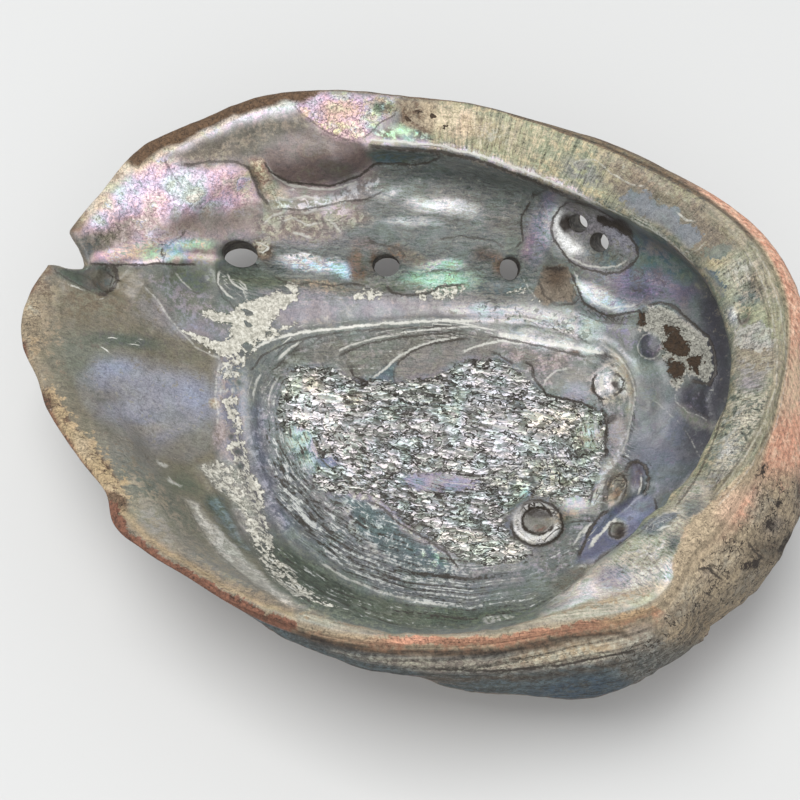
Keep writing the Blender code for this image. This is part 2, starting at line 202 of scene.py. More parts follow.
def guides(angles):
    """The guide points of every spoke, from the middle of the floor over the crest to the underside."""
    none = np.zeros(len(angles))
    floor_r, floor_z = around(FLOOR, angles)
    ledge_r, ledge_z = around(polar(LEDGE), angles)
    crest_r, crest_z = around(polar(CREST), angles)
    wall_r, wall_z = around(WALL, angles)
    lip_r, lip_z = around(LIP, angles)
    bulge_r, bulge_z = around(BULGE, angles)
    notch = np.array(NOTCH).T
    back = np.interp(np.degrees(angles), notch[0], notch[1])
    crest_r = crest_r - back
    crest_z = crest_z - np.interp(np.degrees(angles), notch[0], notch[2])
    ledge_r = np.minimum(ledge_r, crest_r - 2.6)
    ledge_z = np.minimum(ledge_z, crest_z - 2.4)
    bulge_r = np.minimum(bulge_r, np.where(back > 0, crest_r + lip_r - 1.5, 1e9))
    overhang = np.clip((wall_r - ledge_r) / 6 + 1, 0, 1)
    setback = 5.5 - 3.1 * np.clip(np.cos(angles - FRONT_TURN) * 2 - 0.6, 0, 1)
    width = crest_r - ledge_r
    rest = rest_edge(angles)
    points = [
        (none, none + FLOOR_HEIGHT),
        (none + INNER_FLOOR_RADIUS, 0.35 * floor_z + 4.4),
        (floor_r, floor_z),
        around(FOOT, angles),
        (wall_r, wall_z),
        (ledge_r + 0.8 * overhang - setback * (1 - overhang), ledge_z - LEDGE_DEPTH),
        (ledge_r, ledge_z),
        (ledge_r + 0.45 * width, ledge_z + 0.62 * (crest_z - ledge_z)),
        (crest_r - CREST_ROUNDING, crest_z - 0.25),
        (crest_r + 0.3, crest_z - 0.9),
        (crest_r + lip_r, crest_z - lip_z),
        (bulge_r, bulge_z),
        around(BELLY, angles),
        around(KEEL, angles),
        (rest + REST_EASE, none + 0.55),
        (rest, none),
        (0.5 * rest, none),
        (none, none),
    ]
    return np.array([np.stack([r + none, z + none], -1) for r, z in points])


def spokes(angles, rows):
    """The surface as rows of points, one point to each angle, and which guide each row lies at."""
    guide = guides(angles)
    length = np.linalg.norm(np.diff(guide, axis=0), axis=-1) ** 0.6
    step = length[..., None]
    slope = np.diff(guide, axis=0) / step
    tangent = np.empty_like(guide)
    tangent[1:-1] = (slope[:-1] * step[1:] + slope[1:] * step[:-1]) / (step[1:] + step[:-1])
    tangent[0] = slope[0] * [1, 0]
    tangent[-3:] = slope[-2:][[0, 1, 1]]
    lines = []
    places = []
    for part, count in enumerate(rows):
        for t in np.arange(count) / count:
            places.append(part + t)
            lines.append(
                (2 * t**3 - 3 * t**2 + 1) * guide[part]
                + (t**3 - 2 * t**2 + t) * step[part] * tangent[part]
                + (3 * t**2 - 2 * t**3) * guide[part + 1]
                + (t**3 - t**2) * step[part] * tangent[part + 1]
            )
    places.append(float(len(rows)))
    lines.append(guide[-1])
    lines = np.array(lines)
    x = CENTRE_X + lines[..., 0] * np.cos(angles)
    y = CENTRE_Y + lines[..., 0] * np.sin(angles)
    return np.stack([x, y, lines[..., 1]], -1), np.array(places)[:, None] + np.zeros(len(angles))


def spoke_angles(count):
    """Angles of the spokes, closer together where the lip is far away, at the notch and along the holes."""
    fine = np.radians(np.arange(0, 360, 0.5))
    turn = np.degrees(fine)
    reach, _ = around(polar(CREST), fine)
    share = reach * (1 + 0.9 * hump(turn - 158, 10) + 0.35 * hump(turn - 105, 45))
    share = np.concatenate([[0], np.cumsum(share)])
    wanted = np.arange(count) / count * share[-1]
    return np.interp(wanted, share, np.append(fine, 2 * np.pi))


def hump(distance, width):
    """1 on the line, falling smoothly to nothing a width away."""
    return np.exp(-((distance / width) ** 2))


def normals(points):
    """The outward direction at each point of the spokes."""
    down = np.gradient(points, axis=0)
    across = np.roll(points, -1, axis=1) - np.roll(points, 1, axis=1)
    out = np.cross(down, across)
    out = out / np.maximum(np.linalg.norm(out, axis=-1, keepdims=True), 1e-9)
    out[0] = [0, 0, 1]
    out[-1] = [0, 0, -1]
    return out


def camera_axes():
    """Where the camera is, and its right, up and forward directions."""
    level = np.array([0, np.cos(CAMERA_RISE), -np.sin(CAMERA_RISE)])
    eye = LOOK_AT - CAMERA_DISTANCE * level
    forward = level + [AIM_ASIDE / PIXELS_PER_DEPTH, 0, 0]
    forward = forward / np.linalg.norm(forward)
    up = np.array([0, np.sin(CAMERA_RISE), np.cos(CAMERA_RISE)])
    right = np.cross(forward, up)
    right = right / np.linalg.norm(right)
    return eye, right, np.cross(right, forward), forward


def pixels(points):
    """Across and down in the image, in pixels, of each point."""
    eye, right, up, forward = camera_axes()
    from_eye = points - eye
    depth = from_eye @ forward / PIXELS_PER_DEPTH
    return IMAGE_SIDE / 2 + from_eye @ right / depth, IMAGE_SIDE / 2 - from_eye @ up / depth


def noise(points, size, seed=0):
    """Smooth noise from -1 to 1 with lumps of that size."""
    place = points / size + 31.7 * (seed + 1)
    cell = np.floor(place).astype(np.int64)
    part = place - cell
    part = part * part * (3 - 2 * part)
    total = 0
    for corner in np.ndindex(2, 2, 2):
        mixed = (cell + corner) @ np.array([374761393, 668265263, 974634777]) & 0xFFFFFFFF
        mixed = (mixed ^ (mixed >> 13)) * 1274126177 & 0xFFFFFFFF
        weight = np.prod(np.where(corner, part, 1 - part), -1)
        total = total + weight * (((mixed ^ (mixed >> 16)) & 0xFFFF) / 32767.5 - 1)
    return total


def rough_noise(points, size, octaves=3, seed=0):
    """Noise of several sizes, each half the one before."""
    return sum(noise(points, size / 2**k, seed + k) / 1.6**k for k in range(octaves))


def line_distance(u, v, line):
    """Distance to the line, signed by the side that the point is on, and how far along the line it is."""
    line = np.array(line, float)
    best = np.full(u.shape, 1e9)
    side = np.zeros(u.shape)
    along = np.zeros(u.shape)
    for index, (start, end) in enumerate(zip(line, line[1:])):
        way = end - start
        du, dv = u - start[0], v - start[1]
        t = np.clip((du * way[0] + dv * way[1]) / (way @ way), 0, 1)
        distance = np.hypot(du - t * way[0], dv - t * way[1])
        nearer = distance < best
        best = np.where(nearer, distance, best)
        side = np.where(nearer, way[0] * dv - way[1] * du, side)
        along = np.where(nearer, (index + t) / (len(line) - 1), along)
    return np.where(side < 0, -best, best), along


def depth_inside(u, v, outline):
    """How deep each place lies inside the outline, in pixels, and less than nothing outside it."""
    outline = np.array(outline, float)
    distance, _ = line_distance(u, v, np.concatenate([outline, outline[:1]]))
    crossings = np.zeros(u.shape, int)
    for (au, av), (bu, bv) in zip(outline, np.roll(outline, -1, 0)):
        if av != bv:
            crossings += ((av > v) != (bv > v)) & (u < (bu - au) * (v - av) / (bv - av) + au)
    return np.where(crossings % 2 == 1, np.abs(distance), -np.abs(distance))


def inside(u, v, outline, soft=3.0):
    """1 within the outline and 0 outside it, over a border that is this soft."""
    return np.clip(0.5 + depth_inside(u, v, outline) / soft / 2, 0, 1)


def oval(u, v, place, size, turn=0.0, soft=0.35):
    """1 within the oval and 0 outside it, over a border that is a share of its size."""
    angle = np.radians(turn)
    du, dv = u - place[0], v - place[1]
    a = du * np.cos(angle) + dv * np.sin(angle)
    b = dv * np.cos(angle) - du * np.sin(angle)
    distance = np.hypot(a / size[0], b / size[1])
    t = np.clip((1 + soft - distance) / (2 * soft), 0, 1)
    return t * t * (3 - 2 * t)


def row_offset(points):
    """How far each point lies from the row of holes: positive on the side of the shelf."""
    row = np.array([(-86, 36), (-68, 46), (-48, 51.5), (-28, 52), (-8, 51.5), (27, 51)], float)
    line = smooth_line(row[:, 0], row[:, 1], np.clip(points[..., 0], row[0, 0], row[-1, 0]))
    beyond = np.maximum(points[..., 0] - row[-1, 0], 0) + np.maximum(row[0, 0] - points[..., 0], 0)
    return points[..., 1] - line, hump(beyond, 9.0)


def stroke(u, v, line, width, taper=8.0):
    """1 on the line, fading over its width and towards its ends."""
    distance, along = line_distance(u, v, line)
    length = np.hypot(*np.diff(np.array(line, float), axis=0).T).sum()
    ends = np.clip(np.minimum(along, 1 - along) * length / taper, 0, 1)
    return hump(distance, width) * (0.25 + 0.75 * ends)


# Ridges and furrows of the nacre: height in millimetres, half width in pixels, and the line in the image.
RIDGES = [
    (0.9, 5, [(92, 252), (125, 247), (165, 245), (205, 250)]),
    (-0.6, 3, [(112, 266), (140, 266), (165, 264), (212, 262)]),
    (0.6, 4, [(215, 262), (214, 285), (196, 298)]),
    (0.3, 2, [(140, 280), (160, 303), (180, 332), (208, 352), (222, 358)]),
    (0.6, 3, [(222, 372), (238, 350), (275, 340), (330, 328), (400, 320), (470, 318), (530, 324), (590, 340)]),
    (-0.5, 3, [(262, 392), (272, 366), (300, 350), (345, 340), (400, 332), (460, 328)]),
    (0.4, 3, [(366, 378), (385, 360), (410, 348), (435, 340), (480, 334)]),
    (0.7, 4, [(596, 342), (618, 356), (631, 385), (629, 425), (612, 470), (600, 492)]),
    (0.7, 5, [(226, 360), (222, 400), (230, 445), (243, 490), (262, 535), (300, 585), (350, 612)]),
    (-0.6, 4, [(240, 365), (238, 410), (246, 455), (262, 505), (300, 560), (350, 590), (420, 607)]),
    (0.5, 3, [(252, 372), (250, 420), (260, 465), (282, 515), (330, 565), (390, 592), (460, 606)]),
    (-0.4, 3, [(262, 380), (262, 425), (272, 470), (298, 515), (345, 560), (400, 585), (470, 600)]),
    (0.5, 3, [(275, 390), (276, 430), (290, 478), (318, 520), (360, 556), (410, 578), (480, 594), (520, 590)]),
    (0.6, 3, [(195, 462), (214, 492), (236, 528), (262, 572), (300, 610)]),
    (0.8, 5, [(555, 190), (548, 205), (545, 225), (548, 245), (556, 262)]),
    (0.5, 4, [(568, 268), (580, 292), (600, 310), (620, 314), (642, 309), (650, 318), (672, 314), (692, 335)]),
    (0.6, 4, [(690, 335), (708, 352), (712, 376), (704, 400), (712, 430), (736, 470)]),
    (0.5, 4, [(250, 205), (290, 196), (330, 208), (350, 200), (382, 194)]),
    (-0.5, 3, [(252, 170), (262, 195), (280, 212)]),
    (-0.5, 3, [(245, 165), (262, 180), (300, 187), (345, 176), (375, 165), (400, 163), (440, 156)]),
    (0.5, 4, [(575, 566), (605, 548), (640, 524), (668, 500), (690, 470)]),
    (-0.6, 4, [(592, 548), (612, 520), (636, 498), (655, 486)]),
    (0.7, 3, [(597, 480), (600, 500), (598, 514)]),
]

# Hollows and swellings: height in millimetres, place, size, turn and softness in the image.
SWELLS = [
    (-2.2, (88, 278), (34, 13), 4, 0.7),
    (-1.0, (102, 279), (16, 12), 0, 0.8),
    (-1.9, (192, 279), (22, 13), 12, 0.5),
    (-1.6, (262, 274), (36, 8), 6, 0.6),
    (-1.4, (384, 283), (34, 8), 0, 0.7),
    (-1.3, (508, 285), (30, 8), 0, 0.7),
    (-1.0, (559, 286), (20, 20), 0, 0.6),
    (1.1, (592, 292), (26, 22), 40, 0.8),
    (0.9, (440, 205), (60, 22), 4, 0.9),
    (-0.7, (480, 232), (60, 10), 4, 0.8),
    (1.2, (310, 168), (52, 22), 8, 0.6),
    (0.8, (150, 195), (60, 32), -25, 0.7),
    (-0.9, (395, 158), (30, 7), 0, 0.5),
    (1.0, (651, 346), (13, 14), 20, 0.35),
    (-0.6, (682, 352), (24, 36), -25, 0.25),
    (-0.5, (600, 228), (38, 34), 30, 0.2),
    (1.8, (612, 383), (15, 16), 0, 0.6),
    (-1.0, (628, 520), (44, 15), -32, 0.5),
    (1.0, (617, 488), (12, 16), -20, 0.5),
    (-0.7, (614, 492), (5, 7), -20, 0.6),
    (0.7, (637, 478), (6, 14), -10, 0.4),
    (-0.7, (380, 525), (48, 13), 38, 0.5),
    (0.5, (560, 200), (14, 22), 15, 0.8),
    (-0.8, (745, 318), (7, 9), 0, 0.5),
    (-0.5, (420, 116), (22, 12), 10, 0.6),
]

# The worm tubes on the floor: place in the image, radius of the ring and of its wall in pixels, height.
TUBES = [((536, 521), 20.5, 5.5, 1.9), ((490, 620), 5.0, 2.0, 0.6), ((505, 617), 3.0, 1.6, 0.4)]
SHELF_RIDGES = [
    (0.6, 4, [(706, 204), (728, 219), (748, 238), (767, 268), (779, 305), (786, 345), (785, 385), (776, 425),
              (758, 455), (738, 484), (716, 508)]),
    (0.4, 3, [(704, 212), (724, 227), (742, 246), (759, 275), (771, 310), (777, 345), (776, 385), (766, 420),
              (749, 450), (730, 478), (712, 500)]),
    (-0.8, 4, [(697, 457), (688, 475), (677, 494), (659, 514)]),
    (0.9, 6, [(730, 346), (746, 336), (768, 334)]),
    (-1.0, 6, [(742, 300), (744, 318), (748, 325)]),
    (0.8, 7, [(716, 430), (736, 418), (756, 404)]),
    (0.7, 6, [(708, 462), (726, 448), (744, 430)]),
    (0.9, 6, [(640, 524), (662, 517), (684, 522)]),
    (-0.9, 8, [(668, 536), (674, 552)]),
    (0.6, 4, [(660, 575), (668, 560), (664, 548)]),
]
SCAR = [
    (288, 372), (300, 366), (330, 372), (352, 384), (372, 380), (394, 383), (440, 376), (470, 360), (500, 360),
    (520, 372), (545, 398), (580, 402), (604, 412), (608, 440), (600, 470), (590, 500), (560, 500), (548, 540),
    (520, 560), (480, 562), (440, 545), (400, 528), (372, 500), (340, 498), (318, 490), (300, 450), (286, 420),
]


def inside_relief(points, u, v):
    """Height of the nacre's own forms over the smooth bowl."""
    offset, near = row_offset(points)
    height = near * (-1.0 * hump(offset + 3.0, 3.2) + 0.7 * hump(offset - 2.5, 2.6))
    for rise, width, line in RIDGES:
        height = height + rise * stroke(u, v, line, width)
    for rise, place, size, turn, soft in SWELLS:
        height = height + rise * oval(u, v, place, size, turn, soft)
    for (tube_u, tube_v), radius, wall, rise in TUBES:
        reach = np.hypot((u - tube_u) / 1.12, (v - tube_v) * 1.08)
        height = height + rise * hump(reach - radius, wall) - 0.5 * rise * hump(reach, radius * 0.7)
    scar = inside(u, v, SCAR, 8.0)
    flakes = np.stack([u / 9.0, v / 3.4, 0 * u], -1)
    height = height + scar * (0.55 + 0.42 * rough_noise(flakes, 1.0, 2, 3) + 0.3 * noise(flakes, 3.0, 9))
    bands = np.stack([u / 22.0, v / 22.0, 0 * u], -1)
    return height + 0.28 * rough_noise(bands, 1.0, 3, 5)


def shelf_relief(points, u, v):
    """Height of the ridges, hollows and roughness of the shelf and the rim."""
    height = 0.3 * rough_noise(points, 4.0, 2, 12)
    for rise, width, line in SHELF_RIDGES:
        height = height + rise * stroke(u, v, line, width)
    return height


def outside_relief(points):
    """The spiral seam round the spire, the knobs of the row of holes, and broad growth swells."""
    x = points[..., 0] - APEX[0]
    y = points[..., 1] - APEX[1]
    distance = np.maximum(np.hypot(x, y), 0.5)
    turns = (np.degrees(np.arctan2(y, x)) - SUTURE_END[0]) / 360
    wound = np.log(distance / SUTURE_END[1]) / np.log(SUTURE_TURN) - turns
    off = (wound - np.round(wound)) * distance * np.log(SUTURE_TURN) * 0.9
    shown = (distance < SUTURE_END[1] + 4) * np.clip((distance - 3) / 3, 0, 1)
    relief = -1.7 * hump(off, 3.0) * shown
    relief += 1.6 * hump(distance, 7.0)
    for knob_x, knob_y, height, spread in KNOBS:
        relief += height * hump(np.hypot(points[..., 0] - knob_x, points[..., 1] - knob_y), spread)
    relief += 0.35 * np.sin(distance * 0.42)
    turn = np.degrees(np.arctan2(points[..., 1] - CENTRE_Y, points[..., 0] - CENTRE_X))
    crusted = 0.35 + 0.3 * hump(turn + 35, 30)
    return relief + crusted * 0.9 * rough_noise(points, 4.5, 2, 41)


def shell_surface(angles):
    """Points of the shell with all their relief, and where each lies between the guides."""
    base, place = spokes(angles, ROWS)
    out = normals(base)
    within = np.clip(6 - place, 0, 1)
    shelf = np.clip(place - 5, 0, 1) * np.clip(9.4 - place, 0, 1)
    beneath = np.clip((place - 9.6) / 1.4, 0, 1) * np.clip(15 - place, 0, 1)
    outside = beneath * outside_relief(base)
    points = base
    for _ in range(3):
        u, v = pixels(points)
        inner = within * inside_relief(base, u, v) + shelf * shelf_relief(base, u, v)
        points = base + out * (inner + outside)[..., None]
    points[..., 2] = np.maximum(points[..., 2], np.where(place < 15, 0.15, 0))
    points[place >= 15, 2] = 0
    return points, place


def opening_edge(gone):
    """Rows and spokes of the points round an opening, in order, where gone says which points it takes away."""
    count = gone.shape[1]
    beside = np.roll(gone, -1, 1)
    cells = np.argwhere(gone[:-1] | gone[1:] | beside[:-1] | beside[1:])
    edges = {}
    for row, spoke in cells.tolist():
        other = (spoke + 1) % count
        corners = [(row, spoke), (row + 1, spoke), (row + 1, other), (row, other)]
        for one, two in zip(corners, corners[1:] + corners[:1]):
            if not edges.pop((two, one), False):
                edges[(one, two)] = True
    following = dict(edges.keys())
    loop = [next(iter(following))]
    while following[loop[-1]] != loop[0]:
        loop.append(following[loop[-1]])
    return loop


class Surface:
    """Points and faces of the shell as they are put together."""

    def __init__(self, points, place):
        self.grid = points
        self.place = place
        self.gone = np.zeros(place.shape, bool)
        self.more_points = []
        self.more_places = []
        self.more_faces = []

    def add(self, points, place):
        """Adds points, all at one place between the guides, and gives their numbers."""
        first = self.grid.shape[0] * self.grid.shape[1] + len(self.more_points)
        self.more_points += list(points)
        self.more_places += [place] * len(points)
        return np.arange(first, first + len(points))

    def stitch(self, outer, outer_turn, inner, inner_turn):
        """Triangles between two loops of points that go round the same way, each with its rising angles."""
        start = np.argmin(np.abs(np.exp(1j * outer_turn) - np.exp(1j * inner_turn[0])))
        outer = np.roll(outer, -start)
        outer_turn = np.roll(outer_turn, -start)
        outer_turn = np.unwrap(outer_turn + 2 * np.pi * np.round((inner_turn[0] - outer_turn[0]) / 2 / np.pi))
        i = j = 0
        while i < len(outer) or j < len(inner):
            a, b = outer[i % len(outer)], inner[j % len(inner)]
            next_a = outer_turn[i + 1] if i + 1 < len(outer) else outer_turn[0] + 2 * np.pi
            next_b = inner_turn[j + 1] if j + 1 < len(inner) else inner_turn[0] + 2 * np.pi
            if j >= len(inner) or (i < len(outer) and next_a <= next_b):
                self.more_faces.append((a, outer[(i + 1) % len(outer)], b))
                i += 1
            else:
                self.more_faces.append((a, inner[(j + 1) % len(inner)], b))
                j += 1

    def mouth(self, rows, spot, size, axes):
        """Opens one sheet of the surface at the oval, and gives the loop of points round the opening."""
        side, third, along = axes
        first, last = rows
        local = self.grid[first:last] - spot
        a, b, c = local @ side, local @ third, local @ along
        half = np.array(size) / 2
        ratio = np.hypot(a / half[0], b / half[1])
        near = np.abs(c) < 16
        gone = (ratio < 1) & near
        loop = opening_edge(gone)
        fit = (ratio < 2.2) & near
        terms = lambda p, q: np.stack([np.ones_like(p), p, q, p * p, p * q, q * q], -1)
        shape, *_ = np.linalg.lstsq(terms(a[fit], b[fit]), c[fit], rcond=None)
        at = tuple(np.array(loop).T)
        left = c[at] - terms(a[at], b[at]) @ shape
        pa, pb = a[at] / ratio[at], b[at] / ratio[at]
        pc = terms(pa, pb) @ shape + 0.5 * left
        moved = spot + pa[:, None] * side + pb[:, None] * third + pc[:, None] * along
        self.grid[at[0] + first, at[1]] = moved
        self.gone[first:last] |= gone
        turn = np.unwrap(np.arctan2(pb / half[1], pa / half[0]))
        numbers = (at[0] + first) * self.grid.shape[1] + at[1]
        if turn[-1] < turn[0]:
            numbers, turn = numbers[::-1], turn[::-1]
        turn = np.maximum.accumulate(turn)
        return numbers, turn, lambda p, q: terms(p, q) @ shape

    def bore(self, spot, size, direction, inner_rows, outer_rows):
        """A hole right through the shell, with its wall."""
        along = np.array(direction) / np.linalg.norm(direction)
        side = np.array([1.0, 0, 0]) - along[0] * along
        side = side / np.linalg.norm(side)
        axes = (side, np.cross(along, side), along)
        inner, inner_turn, inner_depth = self.mouth(inner_rows, np.array(spot), size, axes)
        outer, outer_turn, outer_depth = self.mouth(outer_rows, np.array(spot), size, axes)
        turns = (np.arange(HOLE_SIDES) + 0.5) / HOLE_SIDES * 2 * np.pi - np.pi
        pa, pb = np.cos(turns) * size[0] / 2, np.sin(turns) * size[1] / 2
        rings = []
        for t in np.linspace(0, 1, HOLE_RINGS):
            t_in = 0.04 + 0.92 * t
            depth = (1 - t_in) * inner_depth(pa, pb) + t_in * outer_depth(pa, pb)
            ring = np.array(spot) + pa[:, None] * side + pb[:, None] * axes[1] + depth[:, None] * along
            rings.append(self.add(ring, 20.0 + t))
        self.stitch(inner, inner_turn, rings[0], turns)
        self.stitch(rings[-1], turns, outer, outer_turn)
        for ring, following in zip(rings, rings[1:]):
            for k in range(HOLE_SIDES):
                other = (k + 1) % HOLE_SIDES
                self.more_faces.append((ring[k], ring[other], following[other], following[k]))

    def faces(self, coarse):
        """All faces, with spokes left out where a row is coarse."""
        rows, spokes_count = self.place.shape
        number = np.arange(rows * spokes_count).reshape(rows, spokes_count)
        made = []
        for row in range(1, rows - 2):
            one, two = coarse[row], coarse[row + 1]
            step = max(one, two)
            at = np.arange(0, spokes_count, step)
            other = (at + step) % spokes_count
            if one == two:
                whole = ~(
                    self.gone[row, at] | self.gone[row, other] | self.gone[row + 1, at] | self.gone[row + 1, other]
                )
                at, other = at[whole], other[whole]
                made += np.stack(
                    [number[row, at], number[row + 1, at], number[row + 1, other], number[row, other]], -1
                ).tolist()
                continue
            half = (at + step // 2) % spokes_count
            wide, narrow = (row, row + 1) if one > two else (row + 1, row)
            made += np.stack([number[wide, at], number[narrow, at], number[narrow, half]], -1).tolist()
            made += np.stack([number[wide, at], number[narrow, half], number[wide, other]], -1).tolist()
            made += np.stack([number[wide, other], number[narrow, half], number[narrow, other]], -1).tolist()
        for row, pole in ((1, 0), (rows - 2, rows - 1)):
            at = np.arange(0, spokes_count, coarse[row])
            other = (at + coarse[row]) % spokes_count
            centre = np.full(len(at), number[pole, 0])
            made += np.stack([centre, number[row, at], number[row, other]], -1).tolist()
        return made + self.more_faces


def coarseness(points, place):
    """How many spokes each row steps over: few points are needed near the two middles."""
    reach = np.hypot(points[..., 0] - CENTRE_X, points[..., 1] - CENTRE_Y).mean(1)
    steps = np.select([reach > 26, reach > 13, reach > 6.5, reach > 3.2], [1, 2, 4, 8], 16)
    return np.where((place[:, 0] > 13) & (reach > 26), 2, steps)


def build_shell():
    """The mesh of the whole shell, and for each point its place between the guides."""
    angles = spoke_angles(SPOKES)
    points, place = shell_surface(angles)
    surface = Surface(points, place)
    ends = np.searchsorted(place[:, 0], [1.5, 5.0, 10.0, 13.5])
    for spot, size, direction in HOLES.values():
        surface.bore(spot, size, direction, ends[:2], ends[2:])
    faces = surface.faces(coarseness(points, place))
    points = np.concatenate([surface.grid.reshape(-1, 3), np.array(surface.more_points)])
    place = np.concatenate([place.ravel(), surface.more_places])
    used = np.unique(np.concatenate([np.array(face) for face in faces]))
    renumber = np.full(len(points), -1)
    renumber[used] = np.arange(len(used))
    faces = [tuple(int(renumber[corner]) for corner in face) for face in faces]
    return points[used], place[used], faces


# Past this place between the guides the outer layer begins.
RIM_PLACE = 9.1
PIXELS_PER_MM = 3.9

# The border that the fine lines round the scar follow.
SCAR_EDGE = [
    (640, 420), (632, 385), (612, 360), (575, 345), (520, 336), (450, 331), (390, 334), (340, 343), (300, 354),
    (274, 374), (266, 400), (270, 440), (286, 480), (316, 520), (356, 556), (408, 582), (470, 598), (530, 598),
    (575, 580),
]

# Colours of the shell, as linear red, green and blue.
COLOURS = {
    "slate": (0.13, 0.145, 0.13),
    "dark slate": (0.075, 0.085, 0.08),
    "teal grey": (0.11, 0.15, 0.15),
    "teal": (0.07, 0.11, 0.12),
    "green grey": (0.15, 0.165, 0.13),
    "dark green": (0.08, 0.10, 0.075),
    "moss": (0.11, 0.13, 0.085),
    "deep green": (0.05, 0.065, 0.045),
    "olive": (0.165, 0.15, 0.105),
    "umber": (0.12, 0.105, 0.08),
    "lavender": (0.235, 0.24, 0.28),
    "pale lavender": (0.33, 0.33, 0.37),
    "lilac": (0.24, 0.225, 0.235),
    "mauve": (0.31, 0.27, 0.26),
    "tan": (0.31, 0.24, 0.155),
    "golden": (0.38, 0.285, 0.165),
    "cream": (0.40, 0.375, 0.29),
    "rim brown": (0.155, 0.10, 0.06),
    "red brown": (0.17, 0.075, 0.045),
    "brown": (0.085, 0.055, 0.033),
    "black brown": (0.032, 0.023, 0.017),
    "rose brown": (0.12, 0.09, 0.08),
    "pink": (0.64, 0.50, 0.52),
    "rose": (0.46, 0.33, 0.33),
    "pale pink": (0.82, 0.71, 0.75),
    "yellow nacre": (0.64, 0.56, 0.40),
    "mint": (0.40, 0.60, 0.44),
    "cyan": (0.48, 0.64, 0.68),
    "silver": (0.52, 0.55, 0.53),
    "white": (0.74, 0.73, 0.70),
    # The brightest white, used for painted highlights.
    "highlight white": (0.98, 0.98, 0.96),
    "chalk": (0.54, 0.53, 0.47),
    "grey": (0.22, 0.215, 0.19),
    "gold shelf": (0.41, 0.355, 0.22),
    "olive shelf": (0.30, 0.31, 0.20),
    "brass": (0.27, 0.24, 0.155),
    "plate": (0.27, 0.262, 0.23),
    "taupe": (0.19, 0.155, 0.115),
    "rose taupe": (0.23, 0.19, 0.16),
    "bright tan": (0.42, 0.33, 0.22),
    "bright sand": (0.60, 0.48, 0.33),
    "bright peach": (0.64, 0.44, 0.31),
    "pale grey": (0.37, 0.36, 0.31),
    "dusty gold": (0.29, 0.255, 0.185),
    "cream green": (0.32, 0.32, 0.245),
    "grey blue": (0.16, 0.175, 0.18),
    "orange": (0.33, 0.17, 0.105),
    "coral": (0.62, 0.31, 0.205),
    "peach": (0.68, 0.46, 0.33),
    "amber": (0.40, 0.29, 0.165),
    "sand": (0.44, 0.35, 0.23),
    "salmon": (0.42, 0.27, 0.19),
    "brick": (0.21, 0.095, 0.06),
    "crust": (0.27, 0.215, 0.145),
    "pale crust": (0.40, 0.36, 0.28),
    "blue grey": (0.085, 0.12, 0.135),
    # Painted shade low on the outside, tinted by reflected blue.
    "blue shade": (0.045, 0.08, 0.12),
    "purple": (0.16, 0.145, 0.21),
    "plum": (0.085, 0.07, 0.10),
    "deep shade": (0.034, 0.032, 0.042),
    "shade lavender": (0.11, 0.12, 0.15),
    "iris": (0.12, 0.13, 0.185),
    "pale iris": (0.27, 0.30, 0.40),
    "lobe": (0.145, 0.145, 0.12),
    "warm lobe": (0.18, 0.17, 0.15),
    "bark": (0.12, 0.07, 0.037),
    "warm olive": (0.165, 0.135, 0.09),
    "magenta": (0.17, 0.12, 0.155),
}


# Outlines in the image: the corroded plate right of the scar and its pits, and the two ridges of the shelf.
CORRODED = [
    (641, 318), (648, 309), (660, 306), (674, 310), (681, 318), (686, 325), (697, 331), (706, 340), (712, 354),
    (713, 370), (708, 382), (700, 379), (692, 375), (684, 376), (679, 384), (675, 390), (671, 384), (668, 372),
    (664, 358), (663, 342), (656, 334), (645, 333), (640, 328),
]
PITS = [
    [(664, 327), (668, 324), (670, 331), (676, 330), (681, 336), (689, 347), (687, 356), (676, 358), (667, 352),
     (664, 345), (670, 338)],
    [(665, 360), (675, 362), (683, 367), (681, 376), (674, 379), (668, 372)],
    [(689, 360), (697, 357), (702, 360), (697, 366), (698, 372), (691, 371)],
    [(640, 312), (645, 314), (644, 325), (639, 324)],
]
SHELF_RIDGE_OUTER = [
    (706, 204), (728, 219), (748, 238), (767, 268), (779, 305), (786, 345), (785, 385), (776, 425), (758, 455),
    (738, 484), (716, 508),
]
SHELF_RIDGE_INNER = [
    (704, 212), (724, 227), (742, 246), (759, 275), (771, 310), (777, 345), (776, 385), (766, 420), (749, 450),
    (730, 478), (712, 500),
]


